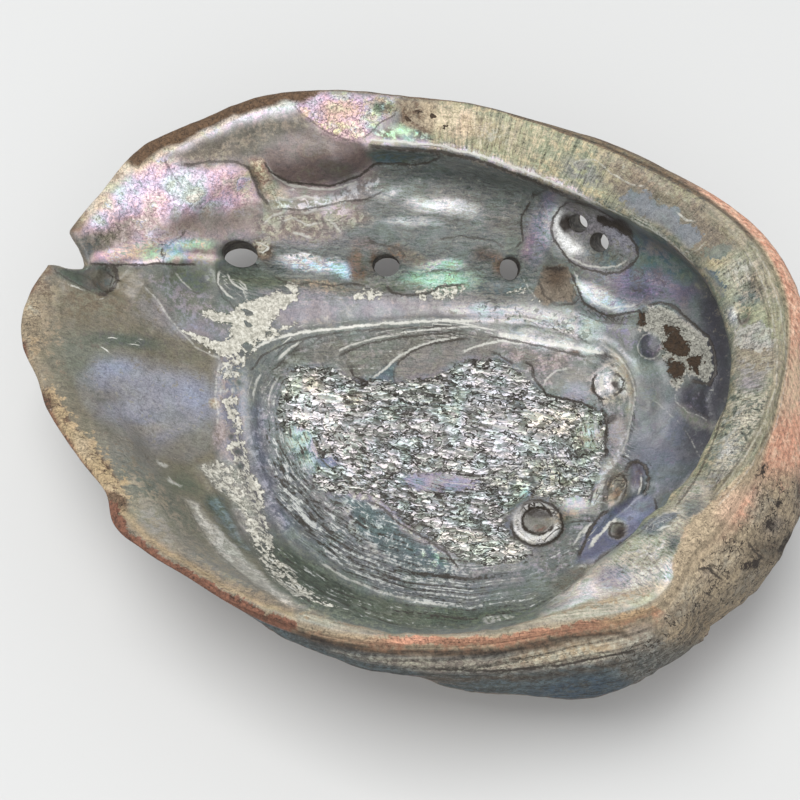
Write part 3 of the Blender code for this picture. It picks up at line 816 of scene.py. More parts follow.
class Brush:
    """Paints colours and textures on the shell's points, by features named in the image."""

    def __init__(self, points, place, facing):
        u, v = pixels(points)
        self.u = u + 2.4 * noise(points, 4.5, 21) + 1.2 * noise(points, 1.7, 22)
        self.v = v + 2.4 * noise(points, 4.5, 23) + 1.2 * noise(points, 1.7, 24)
        self.line_u = u + 0.8 * noise(points, 2.2, 25)
        self.line_v = v + 0.8 * noise(points, 2.2, 26)
        self.place = place
        self.facing = facing
        count = len(points)
        self.channels = {"tint": np.zeros((count, 3)), "other": np.zeros((count, 3))}
        self.channels.update({name: np.full(count, -1.0) for name in ("cover", "chalk", "brown")})
        plain = ("shine", "flake", "streak", "dull", "scar_lines", "rim_lines", "cross_lines")
        self.channels.update({name: np.zeros(count) for name in plain})
        x, y = points[:, 0] - CENTRE_X, points[:, 1] - CENTRE_Y
        crest_reach, crest_height = around(polar(CREST), np.arctan2(y, x))
        self.from_rim = crest_reach - np.hypot(x, y)
        self.along_rim = 80 * np.arctan2(y, x)
        from_scar = line_distance(u, v, SCAR_EDGE)[0] / PIXELS_PER_MM
        self.from_edge = np.where(place > RIM_PLACE, np.hypot(self.from_rim, crest_height - points[:, 2]), from_scar)
        self.lines = {name: np.stack([np.full(count, 9.0), np.full(count, 9.0), np.zeros(count)], -1)
                      for name in ("dark", "pale")}
        self.where = np.ones(count)

    def between(self, first, last, seen=False):
        """Limits what follows to places between two guides, and where seen is set to what the camera sees."""
        self.where = np.clip((self.place - first) * 8 + 0.5, 0, 1) * np.clip((last - self.place) * 8 + 0.5, 0, 1)
        if seen:
            self.where = self.where * np.clip(self.facing * 8, 0, 1)

    def fill(self, weight, tint=None, **values):
        """Mixes the given colours and values in by the weight."""
        weight = weight * self.where
        if tint:
            values["tint"] = tint
        for name, value in values.items():
            if name in ("tint", "other"):
                value = np.array(COLOURS[value])
                self.channels[name] += weight[:, None] * (value - self.channels[name])
            else:
                self.channels[name] += weight * (value - self.channels[name])

    def oval(self, place, size, turn=0.0, soft=0.6, amount=1.0, **values):
        self.fill(amount * oval(self.u, self.v, place, size, turn, soft), **values)

    def area(self, outline, soft=4.0, amount=1.0, **values):
        self.fill(amount * inside(self.u, self.v, outline, soft), **values)

    def band(self, line, width, amount=1.0, **values):
        self.fill(amount * stroke(self.u, self.v, line, width), **values)

    def crisp(self, depth, other, ragged, **values):
        """The other colour wherever the depth is above nothing. The shader makes its border ragged."""
        self.fill(np.clip((depth + 12) / 6, 0, 1), other=other, cover=np.clip(depth / ragged, -1, 1))
        self.fill(np.clip(0.5 + depth / 4, 0, 1), **values)

    def patch(self, outline, other, ragged=8.0, **values):
        self.crisp(depth_inside(self.u, self.v, outline), other, ragged, **values)

    def strip(self, line, width, other, ragged=8.0, **values):
        distance, _ = line_distance(self.u, self.v, line)
        self.crisp(width - np.abs(distance), other, ragged, **values)

    def coat(self, outline, ragged=8.0, most=1.0):
        """Chalk over the outline, as thick as the most, on top of the chalk that is there."""
        depth = depth_inside(self.u, self.v, outline)
        thick = np.where(self.where > 0.5, np.clip(depth / ragged, -1, most), -1)
        self.channels["chalk"] = np.maximum(self.channels["chalk"], thick)

    def mark(self, layer, line, width=1.2, strength=1.0):
        """A thin line. The nearest line of its layer is kept at each point, with the side that the point is on."""
        distance, along = line_distance(self.line_u, self.line_v, line)
        length = np.hypot(*np.diff(np.array(line, float), axis=0).T).sum()
        ends = np.clip(np.minimum(along, 1 - along) * length / 7, 0, 1)
        shown = strength * ends * np.clip((8 - np.abs(distance)) / 4, 0, 1) * self.where
        kept = self.lines[layer]
        nearer = (np.abs(distance) < kept[:, 0]) & (shown > 0)
        kept[nearer] = np.stack([np.abs(distance), distance / width, shown], -1)[nearer]


def paint_floor(brush):
    """The bowl's floor left of the muscle scar: brushed olive, with a lavender middle."""
    brush.between(-1, 30)
    brush.fill(1.0, "crust", other="umber", cover=-0.1, dull=0.6)
    brush.between(-1, 8.2)
    brush.fill(1.0, "slate", other="green grey", cover=-0.25, shine=0.25, dull=0.0)
    left = [
        (20, 262), (60, 258), (110, 266), (140, 272), (170, 300), (190, 335), (222, 357), (217, 440), (226, 490),
        (250, 545), (300, 610), (230, 600), (150, 570), (100, 520), (20, 400),
    ]
    brush.area(left, 6, tint="olive", other="umber", cover=-0.35, streak=1.1, shine=0.12)
    brush.oval((85, 303), (60, 28), 0, 0.8, tint="warm olive", other="olive", cover=0.0)
    brush.oval((165, 310), (30, 20), 30, 0.8, 0.7, tint="lilac")
    brush.oval((150, 345), (70, 17), 14, 0.6, 0.9, tint="olive", other="umber", cover=-0.1)
    brush.oval((85, 362), (38, 26), 20, 0.8, 0.8, tint="green grey")
    brush.oval((126, 341), (34, 7), 6, 0.7, 0.9, tint="dark green", other="dark slate")
    brush.area([(84, 384), (98, 366), (118, 360), (150, 367), (182, 372), (202, 384), (213, 400), (214, 420),
                (204, 442), (188, 452), (160, 448), (132, 432), (100, 412)], 14, 0.95, tint="lavender",
               other="grey", cover=-0.35, shine=0.1, streak=0.9)
    for spot, size, turn, amount, tint in (
        ((116, 368), (20, 8), -8, 0.7, "pale iris"), ((196, 394), (20, 12), 40, 0.6, "pale iris"),
        ((104, 396), (20, 7), 14, 0.6, "olive"), ((150, 376), (26, 5), 8, 0.5, "pale lavender"),
        ((132, 408), (22, 7), -16, 0.6, "pale lavender"), ((164, 398), (20, 6), 20, 0.5, "pale lavender"),
        ((152, 428), (24, 6), -8, 0.5, "dusty gold"), ((176, 416), (22, 7), 24, 0.4, "grey"),
        ((196, 436), (16, 7), -20, 0.5, "pale iris"), ((128, 390), (16, 5), 30, 0.4, "grey"),
    ):
        brush.oval(spot, size, turn, 0.9, amount, tint=tint)
    brush.oval((215, 404), (6, 5), 0, 0.5, 0.9, tint="tan", other="cream", cover=0.0)
    brush.oval((190, 440), (26, 12), -20, 0.7, 0.8, tint="olive")
    brush.oval((130, 465), (34, 20), 45, 0.8, 0.8, tint="grey")
    brush.oval((150, 508), (60, 24), 48, 0.7, 0.9, tint="green grey", other="dusty gold", cover=0.1)
    brush.oval((165, 534), (50, 14), 44, 0.7, 0.8, tint="dusty gold", other="grey", cover=0.0)
    brush.oval((222, 572), (50, 12), 36, 0.7, 0.8, tint="grey", other="dusty gold", cover=0.0)
    brush.area([(184, 498), (197, 502), (214, 524), (240, 552), (270, 583), (306, 606), (322, 615), (290, 606),
                (255, 585), (222, 556), (200, 528)], 2, 0.9, tint="pale grey", other="chalk", cover=0.0)
    brush.mark("dark", [(184, 500), (200, 529), (222, 557), (255, 586), (290, 607)], 1.0, 0.45)
    brush.oval((185, 485), (16, 8), 20, 0.6, 0.9, tint="moss")
    brush.area([(205, 492), (222, 496), (240, 530), (256, 556), (246, 552), (225, 530), (208, 508)], 4, 0.95,
               tint="dark green", other="teal grey", cover=0.1)
    brush.area([(192, 268), (214, 300), (245, 305), (240, 330), (200, 345), (180, 330), (165, 300), (140, 274)], 7,
               0.9, tint="green grey", other="lilac", cover=0.0, shine=0.3)
    brush.oval((195, 330), (26, 11), 10, 0.6, 0.9, tint="lilac", other="lavender", cover=-0.2)
    brush.oval((180, 300), (18, 9), 40, 0.7, 0.7, tint="green grey")


def paint_trough(brush):
    """The worn channel below the half-made hole, darkened with painted shade, the streak above it and the closed hollow
    beside it.
    """
    brush.between(-1, 9.5)
    trough = [
        (52, 263), (60, 268), (72, 269), (90, 266), (104, 266), (112, 268), (116, 276), (114, 286), (106, 293),
        (92, 292), (80, 287), (70, 283), (60, 276), (54, 271),
    ]
    # The channel's dark slate and deep green: its own dark nacre, deepened with painted shade in the hollow.
    brush.area(trough, 2.5, tint="dark slate", other="dark green", cover=0.0, streak=0.3, shine=0.2)
    brush.oval((98, 279), (16, 10), 6, 0.5, 0.95, tint="umber", other="dark slate", cover=-0.3)
    brush.oval((70, 275), (16, 5), 16, 0.7, 0.95, tint="deep green", other="deep green")
    brush.mark("dark", [(93, 293), (105, 294), (113, 289), (118, 280), (116, 270), (108, 265)], 1.8, 0.95)
    brush.mark("dark", [(54, 264), (56, 272), (70, 280), (86, 289), (96, 294)], 1.0, 0.6)
    brush.mark("pale", [(66, 283), (76, 287), (86, 292)], 0.9, 0.7)
    brush.between(-1, 8.2)
    brush.area([(88, 262), (92, 252), (125, 246), (165, 239), (205, 239), (216, 250), (212, 264), (165, 263),
                (125, 264)], 2.5, tint="mauve", shine=0.9, cover=-1)
    brush.oval((112, 254), (17, 4.5), -6, 0.7, tint="pink")
    brush.oval((138, 251), (22, 5), -6, 0.7, tint="yellow nacre")
    brush.oval((160, 254), (15, 6), -4, 0.7, tint="mint", other="yellow nacre", cover=-0.1)
    brush.oval((176, 248), (15, 8), -8, 0.7, tint="cyan", other="mint", cover=-0.1)
    brush.oval((198, 244), (15, 5), -6, 0.7, 0.95, tint="mint", other="yellow nacre", cover=0.0)
    brush.oval((190, 257), (22, 3), 2, 0.7, 0.9, tint="pale pink", other="yellow nacre", cover=0.0)
    brush.band([(100, 259), (130, 250), (165, 243), (205, 240)], 9, streak=1.8)
    brush.mark("dark", [(160, 240), (163, 247), (161, 254), (166, 262)], 1.0, 0.85)
    brush.oval((262, 247), (9, 8), 30, 0.4, 0.9, tint="brown", other="cream", cover=-0.1, dull=0.8)
    brush.mark("pale", [(252, 243), (262, 243), (269, 248), (262, 254), (256, 250)], 1.0, 0.9)
    brush.oval((150, 261), (20, 2.2), 0, 0.6, 0.9, tint="white")
    brush.mark("dark", [(86, 264), (125, 265), (165, 264), (200, 265)], 1.2, 0.9)
    brush.mark("dark", [(164, 246), (166, 254), (163, 260), (170, 261)], 0.8, 0.6)
    brush.area([(170, 268), (185, 269), (212, 266), (214, 281), (207, 291), (196, 292), (184, 284)], 4, 0.95,
               tint="moss", other="dark slate", cover=0.0, shine=0.2, chalk=-1)
    brush.mark("dark", [(206, 291), (197, 293), (188, 289)], 0.9, 0.5)
    brush.mark("pale", [(172, 270), (184, 283), (194, 292)], 0.9, 0.6)
    brush.mark("pale", [(142, 282), (152, 294), (162, 306), (171, 320), (182, 333), (195, 347), (215, 357),
                        (222, 358)], 1.0, 0.5)
    brush.mark("dark", [(136, 284), (147, 297), (159, 311), (171, 330), (184, 343), (200, 356)], 0.8, 0.4)


def paint_row(brush):
    """Round the row of holes: grey green nacre with pink streaks, painted cyan and white highlights between the holes,
    and painted shade in the hollow below the second.
    """
    brush.between(-1, 5.6)
    brush.area([(226, 230), (270, 225), (360, 232), (440, 240), (520, 236), (540, 260), (545, 300), (500, 312),
                (420, 300), (330, 300), (250, 305), (226, 290)], 8, tint="slate", other="dark slate",
               cover=-0.3, shine=0.35, streak=2.2, dull=0.4)
    brush.oval((300, 235), (50, 10), 0, 0.8, 0.8, tint="lilac", other="umber", cover=-0.3)
    brush.area([(262, 290), (300, 284), (340, 292), (384, 296), (440, 292), (480, 300), (480, 316), (400, 316),
                (330, 322), (280, 330), (262, 318)], 8, 0.95, tint="lilac", other="mauve", cover=-0.3, shine=0.3)
    brush.oval((262, 281), (38, 7), 6, 0.5, 0.9, tint="moss", other="dark green", cover=-0.4)
    brush.oval((322, 286), (30, 6), 10, 0.6, 0.8, tint="olive", other="tan", cover=-0.1)
    brush.coat([(352, 296), (360, 290), (372, 289), (384, 294), (380, 301), (366, 303), (356, 301)], 5, 0.1)
    brush.coat([(411, 297), (425, 289), (440, 286), (466, 286), (470, 291), (452, 298), (430, 300)], 5, 0.1)
    brush.oval((398, 252), (14, 8), 20, 0.6, 0.9, tint="umber", other="rim brown", cover=-0.1)
    brush.oval((374, 262), (7, 14), 10, 0.6, 0.9, tint="umber", other="brown", cover=-0.1)
    # Painted shade in the hollow below the second hole.
    brush.oval((408, 284), (30, 8), 2, 0.6, 0.95, tint="deep green", other="dark green", cover=0.0)
    brush.oval((224, 258), (8, 16), 10, 0.6, 0.9, tint="dark green", other="dark slate", cover=0.0)
    brush.oval((250, 272), (26, 5), 6, 0.6, 0.9, tint="dark green", other="deep green", cover=0.0)
    # Painted highlights between the holes: silver, cyan and white where the nacre catches the light.
    brush.oval((318, 264), (36, 6.5), 4, 0.5, tint="silver", other="cyan", cover=0.0, shine=0.9)
    brush.oval((345, 270), (10, 7), 0, 0.5, tint="cyan", shine=0.8)
    brush.oval((300, 257), (18, 3.5), 0, 0.5, tint="white", shine=0.5)
    brush.oval((440, 265), (22, 6), 0, 0.5, tint="silver", other="mint", cover=0.1, shine=0.8)
    brush.oval((440, 281), (36, 10), 3, 0.7, 0.95, tint="mint", other="green grey", cover=-0.3, shine=0.8)
    brush.oval((357, 266), (8, 20), -10, 0.5, 0.9, tint="umber", other="rim brown", cover=0.2)
    brush.oval((365, 243), (12, 8), 30, 0.5, 0.8, tint="rose brown")
    brush.oval((415, 258), (10, 7), 20, 0.6, 0.8, tint="olive")
    brush.oval((488, 252), (15, 9), -10, 0.5, 0.9, tint="brown", other="black brown", cover=0.0)
    brush.oval((498, 262), (7, 11), 0, 0.5, 0.9, tint="rim brown")
    brush.oval((262, 250), (11, 10), 30, 0.4, 0.9, tint="brown", other="rim brown", cover=0.2)
    brush.oval((238, 240), (22, 5), -8, 0.5, 0.9, tint="teal", other="dark slate", cover=0.0)
    brush.oval((386, 286), (34, 7), 2, 0.6, 0.7, tint="grey", other="moss", cover=0.0)
    brush.oval((510, 288), (34, 8), 2, 0.6, 0.7, tint="slate", other="teal grey", cover=0.1)
    brush.oval((468, 298), (60, 10), 2, 0.7, 0.6, tint="grey")
    brush.oval((516, 291), (18, 6), -6, 0.5, chalk=-0.1)
    brush.oval((536, 300), (10, 4), -20, 0.5, chalk=0.0)
    brush.mark("dark", [(270, 274), (282, 281), (296, 285), (310, 282), (330, 286), (352, 284), (370, 286)], 1.2, 0.7)
    brush.mark("pale", [(219, 267), (218, 282), (227, 295), (239, 301)], 1.1, 0.8)
    brush.mark("pale", [(225, 270), (232, 283), (244, 290), (246, 301)], 1.0, 0.8)
    brush.mark("pale", [(236, 277), (246, 286), (250, 298)], 1.0, 0.7)
    brush.mark("dark", [(216, 265), (217, 280), (222, 296), (236, 309), (256, 315)], 1.0, 0.5)
    brush.mark("dark", [(384, 283), (392, 293), (411, 296), (430, 292), (441, 286), (470, 284)], 1.4, 0.85)
    brush.mark("dark", [(425, 272), (445, 270), (466, 272)], 1.0, 0.7)
    brush.mark("dark", [(436, 240), (460, 236), (495, 241), (506, 250)], 1.0, 0.7)
    brush.mark("dark", [(365, 236), (376, 244), (398, 248), (410, 262)], 1.1, 0.7)
    brush.mark("dark", [(538, 276), (543, 294), (556, 305), (572, 304), (582, 296)], 1.2, 0.7)
    brush.mark("pale", [(520, 275), (530, 290), (540, 302)], 1.0, 0.5)


def paint_back_wall(brush):
    """The wall under the shelf: grey nacre with painted silvery highlights, a crack, and a crescent with a painted
    sheen before the bored patch.
    """
    brush.between(1.5, 5.8)
    brush.area([(372, 150), (440, 150), (500, 166), (545, 185), (575, 205), (570, 262), (530, 256), (440, 236),
                (350, 232), (345, 205), (362, 180)], 8, tint="slate", other="grey", cover=-0.5, shine=0.35,
               streak=2.0, rim_lines=0.3)
    brush.oval((440, 203), (62, 14), 8, 0.9, 0.7, tint="grey", other="pale grey", cover=-0.3)
    # Painted highlights: the white and silver ovals here stand for light reflected off the wall.
    brush.oval((440, 205), (26, 6), 5, 0.9, 0.95, tint="highlight white", other="white", cover=-0.2)
    brush.oval((388, 193), (20, 5), -8, 0.9, 0.65, tint="silver", other="white", cover=-0.3)
    brush.oval((412, 222), (26, 4), 0, 0.7, 0.8, tint="silver")
    brush.oval((470, 212), (14, 8), 20, 0.8, 0.5, tint="silver")
    brush.oval((500, 190), (30, 14), 20, 0.7, 0.7, tint="slate")
    brush.oval((455, 175), (50, 8), 8, 0.7, 0.7, tint="dark slate")
    brush.oval((505, 225), (20, 14), 40, 0.7, 0.6, tint="grey")
    brush.oval((545, 222), (9, 38), 14, 0.5, 0.9, tint="purple", other="magenta", cover=-0.2, shine=0.7)
    # A painted sheen on the crescent: silver and pale lavender.
    brush.oval((546, 224), (7, 16), 10, 0.8, 0.9, tint="silver", other="lavender", cover=-0.1)
    brush.oval((534, 224), (8, 12), 12, 0.8, 0.6, tint="pale lavender", shine=0.8)
    brush.oval((530, 247), (9, 12), 6, 0.7, 0.9, tint="magenta", shine=0.6)
    brush.oval((514, 244), (8, 10), 6, 0.7, 0.8, tint="dark green", other="moss")
    brush.oval((548, 256), (16, 6), 25, 0.7, 0.7, tint="slate")
    brush.mark("dark", [(537, 186), (530, 202), (522, 216), (521, 228), (523, 240), (512, 252)], 1.1, 0.85)
    brush.mark("dark", [(529, 202), (540, 192), (556, 187)], 0.9, 0.7)
    brush.mark("pale", [(531, 262), (536, 240), (537, 215), (545, 200), (560, 192)], 0.9, 0.3)


def paint_bored_patch(brush):
    """The pale worn patch round the two bored holes, brightened on its left as a painted highlight, with painted shade
    on the first hole's inner wall, and the nacre below it with a painted cyan and white highlight.
    """
    brush.between(1.5, 5.8)
    brush.oval((608, 290), (44, 30), 20, 0.7, tint="slate", other="purple", cover=-0.4, shine=0.7, streak=1.6)
    brush.oval((660, 262), (32, 26), 40, 0.7, 0.9, tint="teal", other="slate", cover=0.2, shine=0.7)
    brush.oval((650, 290), (48, 18), 25, 0.7, 0.9, tint="purple", other="plum", cover=-0.2, shine=0.8, streak=1.4)
    brush.oval((696, 318), (16, 30), -30, 0.7, 0.95, tint="plum", other="dark slate", cover=-0.7, shine=0.8)
    brush.oval((648, 268), (14, 8), 20, 0.8, 0.8, tint="teal grey", shine=0.9)
    brush.oval((660, 283), (16, 8), 20, 0.8, 0.6, tint="lilac", shine=0.5)
    brush.oval((640, 293), (20, 7), 14, 0.7, 0.95, tint="plum", other="purple", cover=-0.2, shine=0.7)
    brush.oval((676, 303), (22, 5), 28, 0.7, 0.9, tint="magenta", shine=0.9)
    brush.oval((652, 246), (20, 7), 40, 0.7, 0.8, tint="teal", shine=0.9)
    # Painted highlight: a cyan and white band where the nacre catches the light.
    brush.oval((590, 292), (19, 7), 22, 0.6, 0.95, tint="white", other="silver", cover=0.0, shine=0.5)
    brush.oval((606, 301), (22, 5), 20, 0.7, 0.7, tint="cyan")
    patch = [
        (572, 200), (560, 207), (553, 218), (551, 230), (555, 242), (562, 250), (570, 262), (585, 269), (605, 274),
        (620, 272), (632, 265), (638, 256), (636, 245), (629, 235), (622, 224), (606, 214), (590, 205),
    ]
    brush.area(patch, 1.5, tint="lilac", other="grey", cover=-0.1, shine=0.1, streak=1.0, dull=0.7)
    brush.oval((620, 240), (20, 10), 50, 0.5, 0.8, tint="pale lavender")
    brush.oval((600, 255), (32, 10), 14, 0.5, 0.95, tint="green grey", other="teal grey", cover=0.0, shine=0.4,
               streak=1.0)
    # The patch's white left edge: pale wear, painted brighter as a painted highlight.
    brush.band([(560, 208), (556, 222), (559, 236), (570, 247), (584, 252)], 6, 1.0, tint="highlight white",
               other="white", cover=-0.2, shine=0.0, dull=0.3)
    brush.oval((588, 208), (16, 5), 25, 0.6, 0.7, tint="grey")
    # Painted shade: the black inner wall on the left of the first bored hole.
    brush.oval((565, 224), (7, 10), 10, 0.3, tint="black brown", other="black brown", shine=0.0)
    brush.between(1.5, 6.4)
    for outline in ([(596, 216), (608, 219), (620, 219), (628, 226), (629, 232), (619, 229), (609, 225), (598, 222)],
                    [(616, 220), (624, 222), (631, 230), (634, 236), (624, 231)]):
        brush.patch(outline, "black brown", 4, tint="black brown", shine=0.0, streak=0.0)
    brush.between(1.5, 5.8)
    brush.mark("dark", [*patch, patch[0]], 1.3, 0.85)
    brush.mark("dark", [(597, 221), (606, 224), (616, 226), (626, 231), (633, 239)], 3.2, 1.0)
    brush.mark("pale", [(560, 246), (568, 256), (582, 264), (600, 268), (618, 266), (630, 258)], 1.2, 0.7)
    brush.mark("dark", [(568, 268), (576, 284), (580, 292), (582, 302), (600, 313), (612, 317), (625, 313),
                        (640, 311), (644, 321)], 1.4, 0.9)
    brush.mark("pale", [(572, 268), (582, 288), (594, 301), (612, 309), (640, 304)], 1.2, 0.6)


def paint_brown_patch(brush):
    """Between the last hole and the nacre bulge: a worn brown patch, dark above, and silvery streaks below it, painted
    as sheen and glints.
    """
    brush.between(-1, 5.8)
    brush.patch([(544, 266), (566, 266), (571, 278), (578, 294), (573, 303), (558, 300), (544, 303), (533, 296),
                 (541, 280)], "taupe", 6, tint="umber", dull=0.8, shine=0.0, streak=0.0)
    brush.oval((557, 277), (10, 12), 0, 0.7, 0.9, other="brown")
    brush.oval((556, 268), (12, 4), 0, 0.6, 0.9, other="black brown")
    # The silver and white streaks are a painted sheen with painted glints over the streaked nacre.
    brush.oval((500, 312), (50, 7), 4, 0.7, 0.8, tint="silver", other="slate", cover=-0.1, shine=0.8, streak=1.2)
    brush.oval((565, 322), (40, 8), 14, 0.7, 0.6, tint="silver", other="teal grey", cover=0.0, shine=0.7, streak=1.6)
    for line, width, tint in (
        ([(440, 312), (500, 309), (530, 311), (556, 318), (584, 331), (604, 344)], 3.0, "silver"),
        ([(470, 321), (520, 320), (556, 327), (590, 340)], 2.6, "white"),
        ([(500, 329), (540, 332), (576, 341)], 2.0, "silver"),
        ([(560, 308), (590, 320), (620, 328), (640, 330)], 2.6, "silver"),
        ([(594, 334), (616, 344), (634, 360), (642, 380)], 2.2, "silver"),
    ):
        brush.band(line, width, 0.75, tint=tint, other="slate", cover=-0.2, shine=0.6, streak=1.6)
    for line in ([(500, 315), (530, 317), (556, 324), (580, 334)], [(520, 325), (548, 328), (574, 336), (596, 346)],
                 [(574, 312), (600, 322), (632, 325)]):
        brush.mark("dark", line, 1.0, 0.6)


def paint_right_wall(brush):
    """Right of the scar: slate and lavender nacre with deep painted shade under the shelf, the blister and the corroded
    patch.
    """
    brush.between(1.0, 5.8)
    brush.area([(640, 300), (700, 300), (722, 350), (724, 420), (705, 470), (660, 505), (640, 480), (640, 400)], 8,
               0.9, tint="slate", other="lavender", cover=-0.45, shine=0.4, streak=0.5)
    brush.oval((664, 444), (34, 46), 25, 0.7, 0.9, tint="shade lavender", other="plum", cover=-0.4, shine=0.3)
    brush.oval((650, 400), (16, 30), 0, 0.7, 0.8, tint="slate", other="dark slate", cover=0.0)
    # Painted shade: the deep shade ovals here and below stand for the shade under the shelf's overhang.
    brush.oval((706, 410), (20, 60), 12, 0.7, 0.95, tint="deep shade", other="dark slate", cover=-0.3, shine=0.2)
    brush.oval((716, 340), (14, 56), -8, 0.6, 0.95, tint="deep shade", other="umber", cover=-0.3, shine=0.2)
    brush.oval((628, 332), (22, 14), 10, 0.7, 0.8, tint="slate", other="purple", cover=0.0)
    brush.oval((694, 398), (20, 12), 20, 0.6, 0.95, tint="deep shade", other="plum", cover=-0.2, shine=0.3)
    brush.patch(CORRODED, "pale grey", 7, shine=0.0, dull=1.1)
    for pit in PITS:
        depth = depth_inside(brush.u, brush.v, pit)
        brush.fill(np.clip(depth + 6, 0, 1), brown=np.clip(depth / 8 + 0.15, -1, 1))
    # The blister painted dark, as painted shade against the light its swelling catches.
    brush.oval((650, 346), (12, 13), 20, 0.25, tint="deep shade", other="plum", cover=-0.2, brown=-1, shine=0.5,
               dull=0.0)
    blister = [(650 + 12.5 * np.cos(t), 346 + 13 * np.sin(t)) for t in np.linspace(0, 2 * np.pi, 17)]
    brush.mark("pale", blister, 0.9, 0.5)
    brush.mark("dark", [(643, 306), (660, 303), (675, 307), (684, 316), (698, 328), (708, 337), (715, 352),
                        (716, 371), (711, 385), (700, 383), (688, 380)], 1.6, 0.9)
    brush.mark("pale", [(674, 391), (676, 402), (686, 411), (700, 416), (712, 424)], 0.9, 0.4)
    brush.mark("pale", [(650, 398), (662, 408), (676, 420), (688, 434), (697, 452), (706, 466)], 0.8, 0.35)
    brush.band([(676, 404), (694, 418), (716, 430), (724, 440)], 5, 0.8, tint="grey", other="moss", cover=0.0)
    brush.mark("dark", [(683, 398), (698, 412), (714, 420)], 0.9, 0.5)


def paint_chalk(brush):
    """The chalky outer border of the scar, and the pale lines beside it."""
    brush.between(-1, 6.2)
    brush.oval((232, 415), (15, 70), -4, 0.5, 0.9, tint="lavender", other="mauve", cover=0.0, shine=0.3)
    brush.band([(240, 440), (248, 490), (258, 535)], 16, 0.9, tint="lilac", other="mauve", cover=0.0, shine=0.1,
               dull=0.6, scar_lines=0.6)
    brush.band([(258, 400), (258, 450), (272, 500), (290, 530)], 9, 0.9, tint="shade lavender", other="lavender",
               cover=-0.1, scar_lines=0.6)
    brush.coat([(202, 312), (210, 309), (222, 312), (232, 313), (237, 306), (250, 300), (262, 296), (275, 292),
                (290, 284), (300, 288), (296, 300), (280, 310), (272, 322), (266, 336), (258, 342), (245, 348),
                (235, 355), (222, 356), (208, 349), (194, 342), (181, 332), (188, 331), (195, 337), (205, 336),
                (208, 341), (218, 342), (230, 337), (227, 331), (232, 325), (218, 321), (203, 317)], 7, 0.6)
    brush.coat([(222, 362), (236, 354), (262, 336), (284, 325), (300, 322), (284, 332), (262, 344), (246, 360),
                (238, 380), (224, 380), (218, 372)], 8, 0.12)
    brush.coat([(220, 400), (236, 398), (241, 420), (243, 440), (247, 455), (254, 475), (262, 490), (264, 505),
                (250, 498), (240, 475), (232, 458), (226, 440), (224, 420)], 9, 0.12)
    brush.area([(200, 466), (222, 460), (240, 470), (250, 500), (262, 540), (246, 528), (230, 498), (214, 484)], 4,
               0.9, tint="pale grey", other="chalk", cover=-0.1, dull=0.8, scar_lines=0.3)
    brush.coat([(202, 466), (222, 462), (240, 470), (256, 476), (260, 497), (264, 515), (269, 533), (274, 556),
                (291, 572), (300, 586), (328, 605), (358, 619), (340, 618), (310, 605), (290, 592), (268, 572),
                (254, 549), (249, 533), (243, 514), (230, 498), (214, 484)], 9, 0.08)
    for spot in ((248, 313), (248, 325), (249, 347), (285, 292), (240, 385), (230, 437), (238, 452), (240, 466)):
        brush.oval(spot, (4, 3), 40, 0.4, chalk=-1, tint="slate", other="dark slate")
    brush.oval((228, 432), (4, 12), 0, 0.6, 0.8, chalk=-0.3)
    brush.oval((246, 500), (5, 24), -18, 0.6, 0.9, tint="pale grey", chalk=-0.15)
    for line in ([(222, 366), (228, 364), (236, 367)], [(221, 374), (230, 371), (238, 376)],
                 [(222, 386), (226, 396)], [(232, 384), (234, 396)]):
        brush.mark("pale", line, 1.6, 1.0)
    brush.mark("pale", [(221, 357), (217, 376), (215, 396), (219, 412), (217, 428)], 1.1, 0.5)
    brush.oval((214, 405), (5, 5), 0, 0.5, 0.9, tint="tan", other="cream", cover=0.0)
    brush.oval((219, 435), (7, 13), 0, 0.6, 0.9, tint="rose taupe", other="mauve", cover=0.0, dull=0.4)
    brush.mark("dark", [(143, 458), (152, 458)], 2.6, 0.9)
    brush.mark("pale", [(153, 459), (163, 465), (171, 468)], 1.6, 0.7)
    brush.mark("pale", [(165, 475), (172, 482), (186, 488)], 1.6, 0.7)
    for scratch in ([(98, 345), (105, 349), (112, 355)], [(104, 338), (112, 337), (120, 339)],
                    [(126, 343), (135, 344), (142, 346)], [(94, 299), (101, 299), (106, 297)],
                    [(136, 338), (145, 340)], [(100, 339), (104, 336)]):
        brush.mark("pale", scratch, 0.55, 1.0)


